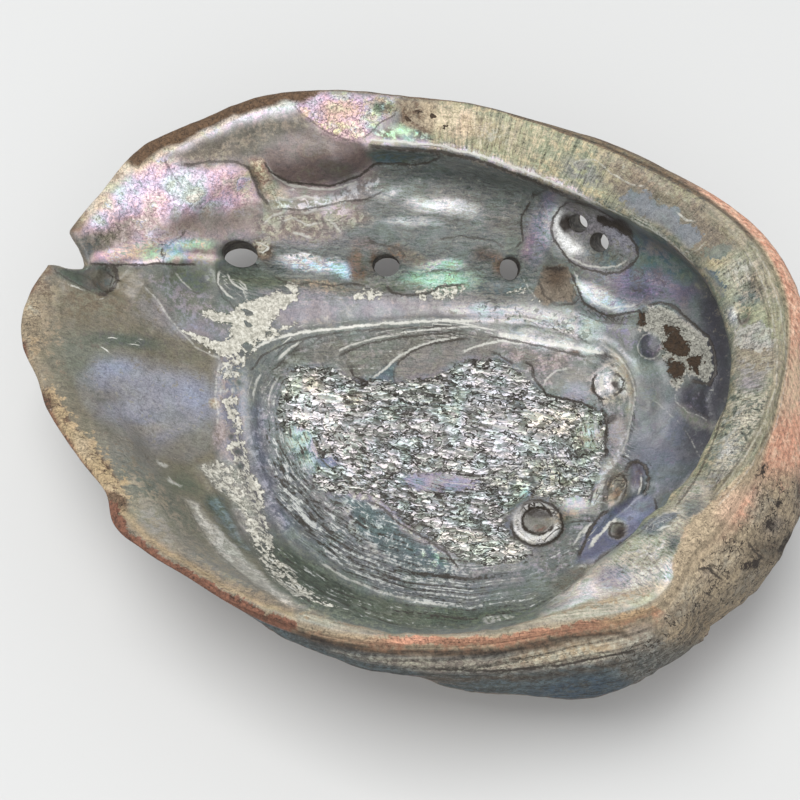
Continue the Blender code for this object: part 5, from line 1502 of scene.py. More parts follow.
def paint_shelf(brush):
    """The flat shelf behind and to the right: gold to olive, grey blue patches, then cream green."""
    brush.between(5.4, 9.7)
    shelf = [
        (440, 96), (520, 112), (600, 136), (700, 186), (764, 230), (800, 290), (800, 440), (770, 455), (730, 512),
        (700, 560), (640, 600), (600, 570), (690, 470), (725, 400), (728, 330), (712, 280), (660, 235), (560, 190),
        (480, 155), (430, 148),
    ]
    brush.area(shelf, 4, tint="olive shelf", other="gold shelf", cover=0.0, shine=0.2, dull=0.6, streak=0.0,
               rim_lines=0.4, cross_lines=1.4)
    brush.oval((500, 135), (50, 14), 14, 0.8, 0.9, tint="gold shelf", other="cream", cover=-0.1)
    brush.oval((454, 122), (26, 15), 10, 0.6, 0.9, tint="sand", other="bright sand", cover=0.1, cross_lines=0.6)
    brush.oval((500, 137), (14, 7), 14, 0.8, 0.7, tint="sand", other="cream", cover=0.0)
    brush.oval((546, 153), (14, 7), 24, 0.8, 0.6, tint="cream", other="cream green", cover=0.0)
    brush.oval((545, 150), (40, 14), 24, 0.8, 0.8, tint="olive shelf", other="gold shelf", cover=-0.1)
    brush.oval((583, 174), (24, 12), 20, 0.5, 0.9, tint="grey", other="olive shelf", cover=-0.2)
    brush.area([(600, 150), (700, 180), (752, 232), (735, 262), (700, 262), (640, 220), (600, 180)], 8, 0.9,
               tint="taupe", other="brass", cover=0.0, dull=0.6, cross_lines=0.8)
    brush.oval((650, 182), (44, 7), 30, 0.7, 0.7, tint="crust", other="dusty gold", cover=0.0)
    brush.oval((742, 274), (22, 26), -20, 0.7, 0.95, tint="cream green", other="cream", cover=0.0, dull=0.9)
    brush.oval((758, 286), (9, 14), -20, 0.6, 0.9, tint="umber", other="crust", cover=-0.1)
    brush.oval((748, 299), (13, 7), 0, 0.6, 0.8, tint="teal grey", other="grey", cover=0.0)
    brush.oval((718, 262), (16, 6), -30, 0.7, 0.9, tint="gold shelf", other="cream", cover=0.0)
    brush.area([(730, 340), (778, 340), (778, 374), (732, 376)], 5, tint="dusty gold", other="plate", cover=0.0,
               rim_lines=0.0, cross_lines=1.3)
    brush.oval((750, 384), (18, 12), 0, 0.7, 0.9, tint="grey", other="lilac", cover=0.0)
    brush.area([(730, 392), (770, 396), (764, 440), (736, 478), (712, 470), (716, 430)], 5, tint="green grey",
               other="cream", cover=0.1, dull=1.0, cross_lines=1.4)
    brush.oval((725, 452), (12, 16), 35, 0.7, 0.9, tint="chalk", other="cream", cover=0.0)
    brush.area([(706, 466), (736, 474), (716, 510), (694, 520), (676, 500)], 5, tint="olive", other="grey",
               cover=0.1, dull=1.0, cross_lines=1.0)
    brush.oval((689, 511), (13, 6), -30, 0.6, 0.9, tint="slate", other="umber", cover=0.0)
    brush.patch([(617, 195), (628, 190), (640, 190), (650, 193), (654, 201), (666, 206), (677, 208), (682, 215),
                 (677, 221), (688, 223), (697, 224), (701, 232), (702, 240), (698, 247), (688, 251), (677, 246),
                 (668, 237), (655, 226), (640, 215), (626, 205)], "grey blue", 9, shine=0.2, dull=0.2,
                cross_lines=0.3, rim_lines=0.0)
    brush.mark("pale", [(626, 206), (640, 216), (655, 228), (668, 240), (678, 249), (690, 253), (700, 249),
                        (706, 240)], 0.9, 0.4)
    brush.mark("pale", [(673, 205), (678, 214), (686, 220), (700, 222)], 1.1, 0.6)
    brush.mark("pale", [(566, 168), (580, 160), (596, 160), (612, 174), (630, 184), (650, 188)], 1.0, 0.5)
    brush.mark("pale", [(618, 172), (624, 166), (622, 160)], 1.0, 0.6)
    brush.patch([(697, 258), (706, 249), (717, 242), (731, 241), (732, 249), (720, 257), (708, 264), (700, 265)],
                "green grey", 9, dull=0.2, cross_lines=0.3, rim_lines=0.0)
    brush.patch([(703, 273), (706, 267), (713, 267), (718, 275), (721, 283), (726, 292), (726, 298), (719, 293),
                 (714, 285), (707, 282)], "blue grey", 9, shine=0.3, dull=0.1, cross_lines=0.0, rim_lines=0.0)
    brush.patch([(738, 322), (752, 326), (762, 322), (771, 330), (772, 346), (756, 350), (740, 348), (734, 338)],
                "pale grey", 7, dull=1.0, cross_lines=0.8)
    brush.oval((732, 315), (6, 10), -10, 0.6, 0.9, tint="lavender", other="silver", cover=0.0, dull=0.1)
    brush.oval((746, 319), (5.5, 7), 10, 0.4, 0.95, tint="moss", other="umber", cover=0.0, dull=0.2)
    for spot, size, turn in (((742, 360), (2, 4), 10), ((758, 388), (2, 5), 20), ((740, 414), (2, 4), 20),
                             ((728, 446), (3, 2), 30), ((757, 330), (3, 2), 0), ((735, 300), (2, 4), 0)):
        brush.oval(spot, size, turn, 0.6, brown=0.0)
    brush.band([(560, 182), (600, 200), (640, 222), (668, 240)], 3, 0.6, tint="cream")
    brush.band([(664, 238), (684, 256), (700, 270), (716, 296)], 3, 0.8, tint="crust", other="tan", cover=0.0)
    for line in (SHELF_RIDGE_OUTER, SHELF_RIDGE_INNER):
        brush.band(line, 5, 0.9, tint="brass", other="dusty gold", cover=-0.1, dull=0.5, rim_lines=0.9,
                   cross_lines=0.0, brown=-1)
        brush.mark("dark", [(u - 4, v + 2) for u, v in line[2:]], 1.1, 0.45)
        brush.mark("pale", line[2:], 1.1, 0.4)
    for line in ([(727, 262), (736, 274), (741, 290)], [(734, 257), (746, 272), (752, 286)], [(722, 270), (731, 282)],
                 [(742, 256), (755, 272)], [(718, 425), (732, 418), (748, 404)], [(712, 446), (728, 436), (744, 422)],
                 [(740, 324), (752, 327), (766, 325)], [(734, 398), (744, 388)], [(740, 408), (752, 398)]):
        brush.mark("pale", line, 1.5, 0.5)
    brush.mark("dark", [(739, 308), (738, 320), (744, 327)], 1.4, 0.9)
    brush.mark("dark", [(596, 160), (636, 180), (668, 200)], 1.0, 0.4)


def paint_shelf_edge(brush):
    """The edge where the shelf drops to the wall: a painted highlight, a pinkish white line along the rounded edge,
    over painted shade, a dark line beneath it.
    """
    brush.between(4.4, 6.9)
    # Painted highlight along the rounded edge, and painted shade just under it.
    edge = [(366, 140), (400, 142), (440, 146), (480, 155), (530, 173), (560, 185), (600, 206)]
    under = [(366, 146), (400, 149), (440, 152), (480, 161), (528, 179), (556, 191), (592, 209)]
    brush.band(edge, 3.5, 0.9, tint="pale pink", other="cream", cover=0.0, shine=0.6)
    brush.band(under, 4.0, 0.9, tint="dark slate", other="umber", cover=0.0)
    brush.mark("dark", under, 1.8, 0.9)
    brush.mark("pale", edge, 1.5, 0.9)
    brush.between(4.4, 6.0)
    # Painted shade on the wall below the shelf's right edge.
    brush.band([(650, 232), (700, 270), (724, 310), (730, 370), (722, 430), (700, 480), (660, 530)], 5, 0.7,
               tint="dark slate", other="umber", cover=0.0)
    brush.between(5.6, 6.9)
    brush.band([(590, 196), (627, 214), (656, 228), (680, 246), (700, 266), (726, 306), (734, 370), (726, 430),
                (704, 482), (664, 534)], 5, 0.8, tint="green grey", other="brass", cover=0.0, dull=0.6)
    # A dark line of painted shade where the shelf drops, and a pale painted highlight along its edge.
    brush.mark("dark", [(592, 205), (627, 223), (654, 236), (677, 253), (694, 272), (714, 300), (725, 335), (728, 372),
                        (724, 410), (712, 446), (694, 482), (672, 512)], 1.3, 0.7)
    brush.mark("pale", [(560, 187), (591, 200), (627, 218), (654, 231), (677, 248), (694, 266)], 1.0, 0.6)


def paint_rim(brush):
    """The worn rim all round: tan crust on the left, brown outer layer behind, coral on the right and in front."""
    brush.between(6.4, 9.8)
    left = [(44, 266), (30, 290), (26, 325), (32, 365), (44, 402), (62, 432), (86, 462), (106, 490), (120, 518)]
    brush.band(left, 15, 0.7, tint="crust", other="olive", cover=-0.1, dull=0.6, shine=0.0, streak=0.3)
    brush.oval((42, 285), (18, 14), 60, 0.6, 0.8, tint="umber", other="crust", cover=0.0)
    brush.area([(10, 300), (28, 294), (42, 298), (48, 312), (46, 330), (42, 350), (40, 368), (32, 374),
                (14, 372)], 9, tint="tan", other="crust", cover=-0.1, dull=0.8, streak=1.6)
    brush.oval((30, 310), (11, 8), 0, 0.7, 0.9, tint="sand", other="cream", cover=0.0)
    brush.oval((30, 352), (9, 12), 0, 0.7, 0.7, tint="sand", other="rim brown", cover=-0.2)
    brush.oval((40, 286), (16, 7), 50, 0.7, 0.8, tint="rim brown", other="crust", cover=0.0)
    brush.oval((34, 344), (14, 10), 0, 0.7, 0.6, tint="crust", other="amber", cover=0.0)
    brush.oval((50, 345), (22, 34), 0, 0.8, 0.5, tint="olive", other="tan", cover=-0.1, streak=1.0)
    brush.patch([(30, 396), (48, 388), (60, 400), (66, 416), (76, 430), (94, 442), (102, 458), (114, 474), (128, 496),
                 (126, 520), (60, 450)], "golden", 20, tint="rim brown", dull=1.0, streak=0.7)
    brush.oval((84, 446), (16, 8), 48, 0.7, 0.9, other="sand")
    brush.oval((118, 500), (10, 16), -30, 0.6, 0.8, other="sand")
    for line, width in (([(20, 300), (17, 330), (22, 356), (30, 374), (38, 392)], 3.0),
                        ([(38, 392), (48, 412), (58, 432), (82, 464), (104, 494), (112, 524)], 3.0),
                        ([(40, 270), (34, 284), (24, 296)], 3.0)):
        brush.band(line, width, 0.9, tint="rim brown", other="red brown", cover=0.0, dull=1.0)
    brush.oval((44, 268), (10, 5), 10, 0.5, 0.9, tint="rim brown", other="crust", cover=0.0)
    brush.oval((22, 352), (7, 10), 0, 0.5, tint="red brown", other="brown", cover=0.0)
    brush.oval((45, 403), (9, 9), 0, 0.5, tint="red brown", other="brown", cover=0.0)
    brush.oval((78, 224), (8, 12), 20, 0.5, tint="brown", other="rim brown", cover=0.0)
    for spot in ((28, 363), (50, 411)):
        brush.oval(spot, (2.4, 2.4), 0, 0.5, tint="white")
    brush.between(7.2, 10.6)
    brush.band([(80, 226), (100, 196), (124, 168), (140, 156)], 6, 0.9, tint="yellow nacre", other="crust",
               cover=-0.1, dull=0.9, shine=0.3)
    brush.band([(130, 172), (155, 157), (180, 147), (205, 134), (240, 119), (290, 105)], 5, 0.9, tint="yellow nacre",
               other="cream", cover=0.0, dull=1.0, shine=0.4)
    for line, width, colour in (
        ([(136, 160), (142, 154), (150, 147), (165, 142), (180, 136), (200, 123), (220, 115), (240, 108),
          (260, 101), (285, 95), (312, 92)], 7.5, "rim brown"),
        ([(138, 153), (148, 144), (175, 133), (200, 118), (230, 107), (265, 95), (300, 89)], 5.0, "bark"),
    ):
        brush.strip(line, width, colour, 5, tint="bark", dull=1.0, shine=0.0, streak=0.0)
    brush.between(8.4, 10.6)
    brush.band([(310, 92), (360, 92), (440, 99), (520, 117), (600, 145), (660, 172), (720, 205), (756, 236)], 7, 0.9,
               tint="umber", other="rim brown", cover=0.2, dull=0.8, shine=0.0)
    brush.between(9.3, 13.5)
    brush.band([(700, 186), (752, 226), (780, 260), (796, 300), (804, 350), (804, 400), (796, 450)], 20, 1.0,
               tint="coral", other="peach", cover=0.0, dull=0.8, shine=0.0, brown=-1)
    # Painted light: the coral's lower part painted brighter to stand for the light it catches.
    brush.oval((790, 398), (12, 26), 6, 0.6, 0.9, tint="sand", other="bright peach", cover=0.1)
    brush.between(6.4, 9.6)
    front = [(118, 520), (150, 542), (180, 560), (240, 592), (300, 614), (330, 622)]
    brush.band(front, 7, 0.8, tint="taupe", other="tan", cover=0.0, dull=0.5, shine=0.1, rim_lines=0.8)
    brush.band([(118, 508), (146, 536), (184, 562), (242, 596), (300, 618)], 4, 0.8, tint="golden", other="tan",
               cover=-0.1)
    brush.between(7.2, 9.6)
    brush.band([(330, 622), (400, 630), (460, 632), (540, 622), (620, 600)], 8, 0.85, tint="tan", other="grey",
               cover=-0.1, dull=0.4, shine=0.1, rim_lines=0.8)
    brush.oval((600, 605), (60, 9), -14, 0.6, 0.8, tint="cream", other="tan", cover=0.1)
    brush.between(7.4, 10.4)
    brush.strip([(110, 508), (122, 533), (150, 556), (178, 573), (215, 594), (240, 608), (270, 621), (300, 631),
                 (336, 640)], 8, "red brown", 8, dull=1.0, shine=0.0, rim_lines=0.8)
    brush.band([(300, 614), (340, 623), (400, 629), (460, 630), (520, 623), (580, 610), (640, 596)], 5, 1.0,
               tint="cream", other="tan", cover=-0.1, rim_lines=1.2, dull=0.4, shine=0.1)
    brush.strip([(310, 636), (360, 640), (400, 641), (440, 642), (490, 641), (532, 636), (575, 628), (617, 620),
                 (660, 608)], 4.6, "orange", 5, tint="sand", dull=1.0, shine=0.0, rim_lines=1.6)
    brush.oval((415, 640), (20, 4), 1, 0.6, 0.9, other="coral")
    brush.oval((345, 634), (36, 7), 6, 0.6, 0.9, other="tan")
    brush.oval((630, 614), (30, 6), -16, 0.6, 0.8, other="amber")
    brush.between(6.5, 10.2)
    # Tan and coral crust, painted brighter to stand for the light on the outer face of the rim.
    brush.patch([(716, 500), (735, 482), (762, 448), (800, 460), (760, 570), (680, 610), (664, 598), (674, 585),
                 (674, 560), (683, 538), (692, 518)], "bright tan", 7, tint="sand", dull=1.0, shine=0.0,
                rim_lines=0.3, cross_lines=0.0, streak=0.0)
    brush.oval((734, 506), (20, 12), -42, 0.7, 0.9, tint="coral", other="bright peach")


def paint_outside(brush, points):
    """The outer layer: brick and tan growth bands, with crusts; the part that shows follows the image, with painted
    shade under the lip and on the underside, tinted by reflected blue light.
    """
    brush.between(10.0, 19)
    reach = np.hypot(points[:, 0] - APEX[0], points[:, 1] - APEX[1])
    wobble = reach + 3 * noise(points, 14.0, 31) + 1.2 * noise(points, 5.0, 32)
    brush.fill(1.0, "crust", other="brick", cover=-0.1, shine=0.0, dull=1.0, chalk=-1, flake=0.0, streak=0.0,
               brown=-0.7)
    for period, share, colour in ((23.0, 0.75, "brick"), (11.0, 0.5, "tan"), (34.0, 0.6, "blue grey")):
        brush.fill(share * np.clip(np.sin(wobble / period * 2 * np.pi) * 1.5, 0, 1), colour)
    brush.fill(0.7 * np.clip(noise(points, 24.0, 33) * 3 - 0.6, 0, 1), "crust", other="pale crust", cover=0.1)
    brush.fill(0.8 * hump(reach, 16.0), "pale crust", other="blue grey", cover=0.0)
    brush.between(9.3, 14, seen=True)
    # Painted shade on the front underside: dark slate and blue grey tinted by reflected blue light.
    brush.area([(200, 580), (300, 625), (400, 645), (520, 645), (640, 620), (700, 600), (700, 680), (600, 720),
                (450, 700), (300, 660), (200, 620)], 6, 0.0 + (brush.place > 9.9), tint="dark slate",
               other="blue grey", cover=-0.1, rim_lines=1.2)
    # Painted shadow: the dark band under the lip's edge.
    brush.band([(290, 629), (340, 645), (380, 650), (440, 653), (490, 652), (532, 646), (575, 638), (617, 630),
                (655, 617)], 5, 1.0, tint="black brown", other="brown", cover=0.0, rim_lines=0.6)
    brush.area([(330, 650), (360, 655), (440, 659), (490, 658), (532, 652), (575, 644), (617, 636), (650, 624), (652, 648),
                (590, 664), (500, 674), (430, 674), (400, 668)], 3, tint="rose taupe", other="cream", cover=0.0,
               rim_lines=2.6, dull=1.0)
    brush.oval((570, 652), (60, 7), -10, 0.7, 0.8, tint="amber", other="cream", cover=0.0)
    brush.band([(420, 678), (460, 680), (530, 677), (590, 670), (640, 656)], 2.5, 0.8, tint="brown", other="umber")
    # Painted shade low on the front, tinted by reflected blue.
    brush.oval((580, 690), (50, 12), -6, 0.7, 0.9, tint="blue shade", other="dark slate", cover=-0.1)
    brush.oval((650, 656), (30, 20), -20, 0.6, 0.9, tint="taupe", other="grey", cover=0.0, brown=-0.4)
    # Painted shade on the underside to the right.
    brush.area([(630, 655), (680, 640), (710, 632), (700, 660), (640, 700)], 5, 0.9, tint="dark slate",
               other="grey", cover=0.0, brown=-0.4)
    # Tan crust and peach here, painted brighter as painted light on the outer face.
    brush.area([(660, 606), (690, 540), (712, 500), (750, 450), (768, 420), (800, 420), (800, 560), (770, 600),
                (710, 640), (664, 640)], 6, tint="bright tan", other="umber", cover=-0.3, brown=-0.55)
    brush.oval((690, 572), (22, 30), 20, 0.7, 0.8, tint="sand", other="bright tan", cover=0.0, brown=-0.8)
    brush.oval((750, 535), (30, 14), -45, 0.7, 0.8, tint="crust", other="bright tan", cover=0.0, brown=-0.35)
    brush.oval((768, 572), (34, 14), -48, 0.7, 0.9, tint="umber", other="grey", cover=0.0, brown=-0.3)
    brush.oval((735, 510), (36, 14), -44, 0.7, 0.95, tint="bright peach", other="coral", cover=-0.1, brown=-0.8)
    brush.oval((786, 446), (24, 30), -60, 0.7, 0.95, tint="coral", other="bright peach", cover=0.0, brown=-0.8)
    brush.oval((762, 497), (12, 13), 0, 0.5, 0.6, tint="tan", other="pale crust", cover=0.0)
    brush.oval((760, 570), (40, 24), -40, 0.7, 0.8, tint="tan", other="crust", cover=0.0, brown=-0.45)
    for spot, size, turn, tint, other in (
        ((698, 545), (18, 9), -50, "pale crust", "bright peach"), ((724, 560), (18, 9), -30, "pale crust", "sand"),
        ((690, 588), (16, 8), -40, "sand", "pale crust"), ((744, 530), (14, 8), -20, "sand", "crust"),
        ((758, 512), (14, 7), -60, "pale crust", "crust"), ((736, 588), (22, 7), -40, "umber", "grey"),
        ((714, 604), (18, 8), -40, "umber", "crust"), ((764, 552), (12, 9), -40, "umber", "brown"),
        ((706, 576), (12, 6), -40, "rose taupe", "crust"), ((774, 524), (10, 7), -60, "rose taupe", "umber"),
        ((680, 612), (18, 7), -30, "taupe", "pale crust"), ((784, 480), (12, 8), -60, "sand", "coral"),
    ):
        brush.oval(spot, size, turn, 0.8, 0.8, tint=tint, other=other, cover=0.0)
    brush.oval((700, 622), (40, 14), -38, 0.7, 0.8, tint="tan", other="umber", cover=-0.1, brown=-0.4)
    brush.oval((699, 559), (24, 15), -50, 0.7, 0.85, tint="bright sand", other="tan", cover=-0.1)
    brush.oval((726, 588), (20, 10), -40, 0.7, 0.6, tint="sand", other="crust", cover=0.0)
    brush.band([(700, 186), (752, 226), (780, 260), (796, 300), (806, 350), (806, 400), (796, 450)], 20, 1.0,
               tint="coral", other="peach", cover=-0.1, brown=-1)
    # Coral and peach painted brighter low on the right rim, as painted light.
    brush.oval((796, 384), (12, 34), 4, 0.6, 0.9, tint="bright peach", other="sand", cover=-0.1, brown=-1)
    brush.oval((790, 440), (16, 34), 30, 0.7, 0.9, tint="coral", other="bright peach", cover=-0.2, brown=-1)
    brush.oval((787, 546), (12, 18), 35, 0.7, 0.7, tint="umber", other="brown", cover=0.0, brown=-0.1)
    for spot, size, turn in (((764, 471), (5, 11), -10), ((771, 524), (4, 8), 10), ((788, 544), (6, 13), 40),
                             ((752, 566), (10, 5), -20), ((778, 503), (3, 5), 20), ((700, 612), (5, 3), -30)):
        brush.oval(spot, size, turn, 0.6, brown=0.2)
    brush.oval((753, 491), (3, 5), 20, 0.5, tint="red brown")
    for line in ([(430, 669), (500, 671), (570, 664), (636, 650)], [(745, 538), (756, 552), (766, 562)],
                 [(700, 555), (711, 571), (724, 583)], [(775, 475), (786, 470)], [(700, 590), (716, 598)],
                 [(690, 545), (700, 560), (698, 575)]):
        brush.mark("dark", line, 1.3, 0.9)


def paint_holes(brush):
    """The walls of the holes, umber with painted shade down to black brown."""
    brush.between(19.5, 22)
    brush.fill(1.0, "umber", other="black brown", cover=0.0, shine=0.1, dull=0.5, chalk=-1, brown=-1)


def paint_shell(points, place, facing):
    """All channels of paint for the shell's points."""
    brush = Brush(points, place, facing)
    paint_floor(brush)
    paint_scar(brush)
    paint_row(brush)
    paint_back_wall(brush)
    paint_bored_patch(brush)
    paint_brown_patch(brush)
    paint_right_wall(brush)
    paint_top_left(brush)
    paint_bright_patch(brush)
    paint_shelf(brush)
    paint_shelf_edge(brush)
    paint_chalk(brush)
    paint_ring(brush)
    paint_front_corner(brush)
    paint_trough(brush)
    paint_rim(brush)
    paint_outside(brush, points)
    paint_holes(brush)
    return brush


class Graph:
    """Puts shader nodes together with few words."""

    def __init__(self, name):
        self.material = bpy.data.materials.new(name)
        self.material.use_nodes = True
        self.tree = self.material.node_tree
        self.shader = self.tree.nodes["Principled BSDF"]

    def put(self, socket, value):
        if isinstance(value, bpy.types.NodeSocket):
            self.tree.links.new(value, socket)
        else:
            socket.default_value = value

    def add(self, kind, inputs, output=0, **settings):
        node = self.tree.nodes.new("ShaderNode" + kind)
        for name, value in settings.items():
            setattr(node, name, value)
        for key, value in inputs.items():
            self.put(node.inputs[key], value)
        return node.outputs[output]

    def math(self, operation, *values, clamp=False):
        return self.add("Math", dict(enumerate(values)), operation=operation, use_clamp=clamp)

    def total(self, value, gain, more):
        """value times gain, plus more."""
        return self.math("MULTIPLY_ADD", value, gain, more)

    def mix(self, share, one, two, blend="MIX"):
        return self.add("Mix", {0: share, 6: one, 7: two}, 2, data_type="RGBA", blend_type=blend)

    def step(self, value, low, high):
        """0 below low and 1 above high, smooth between."""
        return self.add("MapRange", {0: value, 1: low, 2: high}, interpolation_type="SMOOTHSTEP")

    def noise(self, place, scale, detail=3.0, roughness=0.55, output=0):
        inputs = {"Vector": place, "Scale": scale, "Detail": detail, "Roughness": roughness}
        return self.add("TexNoise", inputs, output)

    def ramp(self, share, stops):
        node = self.tree.nodes.new("ShaderNodeValToRGB")
        elements = node.color_ramp.elements
        for index, (at, colour) in enumerate(stops):
            element = elements[index] if index < 2 else elements.new(at)
            element.position = at
            element.color = (*colour, 1)
        self.put(node.inputs[0], share)
        return node.outputs[0]

    def attribute(self, name):
        """A colour attribute as a colour."""
        node = self.tree.nodes.new("ShaderNodeAttribute")
        node.attribute_name = name
        return node.outputs["Color"]

    def split(self, kind, value):
        node = self.tree.nodes.new("ShaderNode" + kind)
        self.tree.links.new(value, node.inputs[0])
        return node.outputs[0], node.outputs[1], node.outputs[2]

    def parts(self, name):
        """The three numbers of an attribute."""
        return self.split("SeparateColor", self.attribute(name))

    def axes(self, place):
        """The x, y and z of a vector."""
        return self.split("SeparateXYZ", place)


# Hues of the nacre's play of colour, which multiply the painted colour.
NACRE_HUES = [
    (0.0, (0.72, 0.95, 1.25)), (0.17, (1.18, 0.88, 1.12)), (0.32, (1.22, 1.02, 0.82)), (0.46, (0.86, 1.16, 0.86)),
    (0.58, (0.78, 1.12, 1.2)), (0.7, (1.0, 0.9, 1.25)), (0.84, (1.25, 0.92, 0.98)), (1.0, (1.0, 1.15, 0.85)),
]

# Colours of the scar's flakes, from the gaps between them, dark with painted shade, to their brightest faces, a painted
# glint.
FLAKE_TONES = [
    (0.0, (0.03, 0.024, 0.016)), (0.16, (0.11, 0.115, 0.09)), (0.36, (0.25, 0.265, 0.24)),
    (0.52, (0.48, 0.49, 0.45)), (0.66, (0.82, 0.81, 0.76)), (0.9, (1.0, 0.99, 0.94)),
]
CHALK_TONES = [(0.1, (0.34, 0.325, 0.27)), (0.5, (0.60, 0.575, 0.49)), (0.9, (0.82, 0.80, 0.71))]


def centred(graph, value):
    return graph.math("SUBTRACT", value, 0.5)


def painted_base(graph, place, ragged=0.16):
    """The painted colour with its mottling, and the patterns that both materials share."""
    wobble = graph.noise(place, 420.0, 2.0, 0.6, output=1)
    away = graph.add("VectorMath", {0: wobble, 1: (0.5, 0.5, 0.5)}, operation="SUBTRACT")
    away = graph.add("VectorMath", {0: away, "Scale": 0.0016}, operation="SCALE")
    bent = graph.add("VectorMath", {0: place, 1: away}, operation="ADD")
    mottle = centred(graph, graph.noise(bent, 460.0, 5.0, 0.7))
    cover, chalk, brown = graph.parts("spread")
    cloud = centred(graph, graph.noise(bent, 950.0, 3.0, 0.6))
    covered = graph.step(graph.total(cloud, 1.0, graph.total(mottle, 3.0, cover)), -ragged, ragged)
    colour = graph.mix(covered, graph.attribute("tint"), graph.attribute("other"))
    grain = centred(graph, graph.noise(place, 2700.0, 3.0, 0.7))
    return bent, mottle, colour, grain, cloud, chalk, brown


def drawn_lines(graph, colour, grain, cloud, mottle):
    """The painted colour with the thin pale and dark lines over it, and how dark each place is."""
    shares = []
    for name, tone in (("pale", (0.64, 0.63, 0.57, 1)), ("dark", (0.042, 0.032, 0.024, 1))):
        distance, strength, _ = graph.parts(name)
        offset = graph.total(mottle, 2.4, graph.math("ABSOLUTE", graph.total(cloud, 2.4, distance)))
        edge = graph.step(graph.total(grain, 1.6, offset), 1.35, 0.35)
        broken = graph.step(graph.total(cloud, 1.6, strength), 0.1, 0.75)
        share = graph.math("MULTIPLY", graph.math("MULTIPLY", edge, broken), strength)
        colour = graph.mix(share, colour, tone)
        shares.append(share)
    return colour, *shares


def finish(graph, colour, roughness, height, coat):
    """Joins the results to the shader. The height is in tenths of a millimetre."""
    graph.put(graph.shader.inputs["Base Color"], colour)
    graph.put(graph.shader.inputs["Roughness"], roughness)
    graph.put(graph.shader.inputs["Coat Weight"], coat)
    bump = graph.add("Bump", {"Height": height, "Strength": 1.0, "Distance": 0.0001})
    graph.put(graph.shader.inputs["Normal"], bump)
    return graph.material


def flake_tone_with_painted_light(graph, bent, mottle, cloud, large):
    """How bright the scar's flakes are: scales of two sizes, each brighter towards its lower edge as a painted
    highlight, with gaps and creases darkened as painted shade and pale ridges as painted glints.
    """
    tones = []
    for scale, seed in ((260.0, 0.0), (470.0, 5.0)):
        spread = graph.add("Mapping", {"Vector": bent, "Location": (seed, seed, 0), "Rotation": (0, 0, 0.12),
                                       "Scale": (scale, scale * 1.9, scale)})
        curl = graph.noise(spread, 1.2, 1.0, 0.6, output=1)
        away = graph.add("VectorMath", {0: curl, 1: (0.5, 0.5, 0.5)}, operation="SUBTRACT")
        away = graph.add("VectorMath", {0: away, "Scale": 1.2}, operation="SCALE")
        spread = graph.add("VectorMath", {0: spread, 1: away}, operation="ADD")
        cells = graph.tree.nodes.new("ShaderNodeTexVoronoi")
        graph.put(cells.inputs["Vector"], spread)
        graph.put(cells.inputs["Scale"], 1.0)
        chance, other_chance, _ = graph.split("SeparateColor", cells.outputs["Color"])
        _, across, _ = graph.axes(graph.add("VectorMath", {0: cells.outputs["Position"], 1: spread},
                                            operation="SUBTRACT"))
        # Painted light: each scale's lower lip is lit as if catching the light from above.
        lip = graph.step(across, -0.15, 0.3)
        shaded_gap = graph.math("MULTIPLY", graph.step(graph.total(across, 0.6, cells.outputs["Distance"]), 0.58, 0.7),
                         graph.step(other_chance, 0.25, 0.4))
        tone = graph.total(lip, graph.total(chance, 0.55, 0.2), graph.total(chance, 0.4, 0.04))
        tones.append(graph.total(shaded_gap, -0.42, tone))
    tone = graph.add("Mix", {0: large, 2: tones[1], 3: tones[0]}, 0)
    waved = graph.add("Mapping", {"Vector": bent, "Rotation": (0, 0, 0.12), "Scale": (230.0, 480.0, 300.0)})
    waved = centred(graph, graph.noise(waved, 1.0, 2.0, 0.6))
    # Painted shade in the wavy creases and painted glints on the ridges beside them.
    shaded_crease = graph.step(graph.math("ABSOLUTE", graph.math("SUBTRACT", waved, 0.012)), 0.026, 0.006)
    lit_ridge = graph.step(graph.math("ABSOLUTE", graph.math("ADD", waved, 0.03)), 0.03, 0.0)
    tone = graph.total(lit_ridge, 0.36, graph.total(shaded_crease, -0.65, tone))
    return graph.total(mottle, 0.4, graph.total(cloud, 0.3, tone))


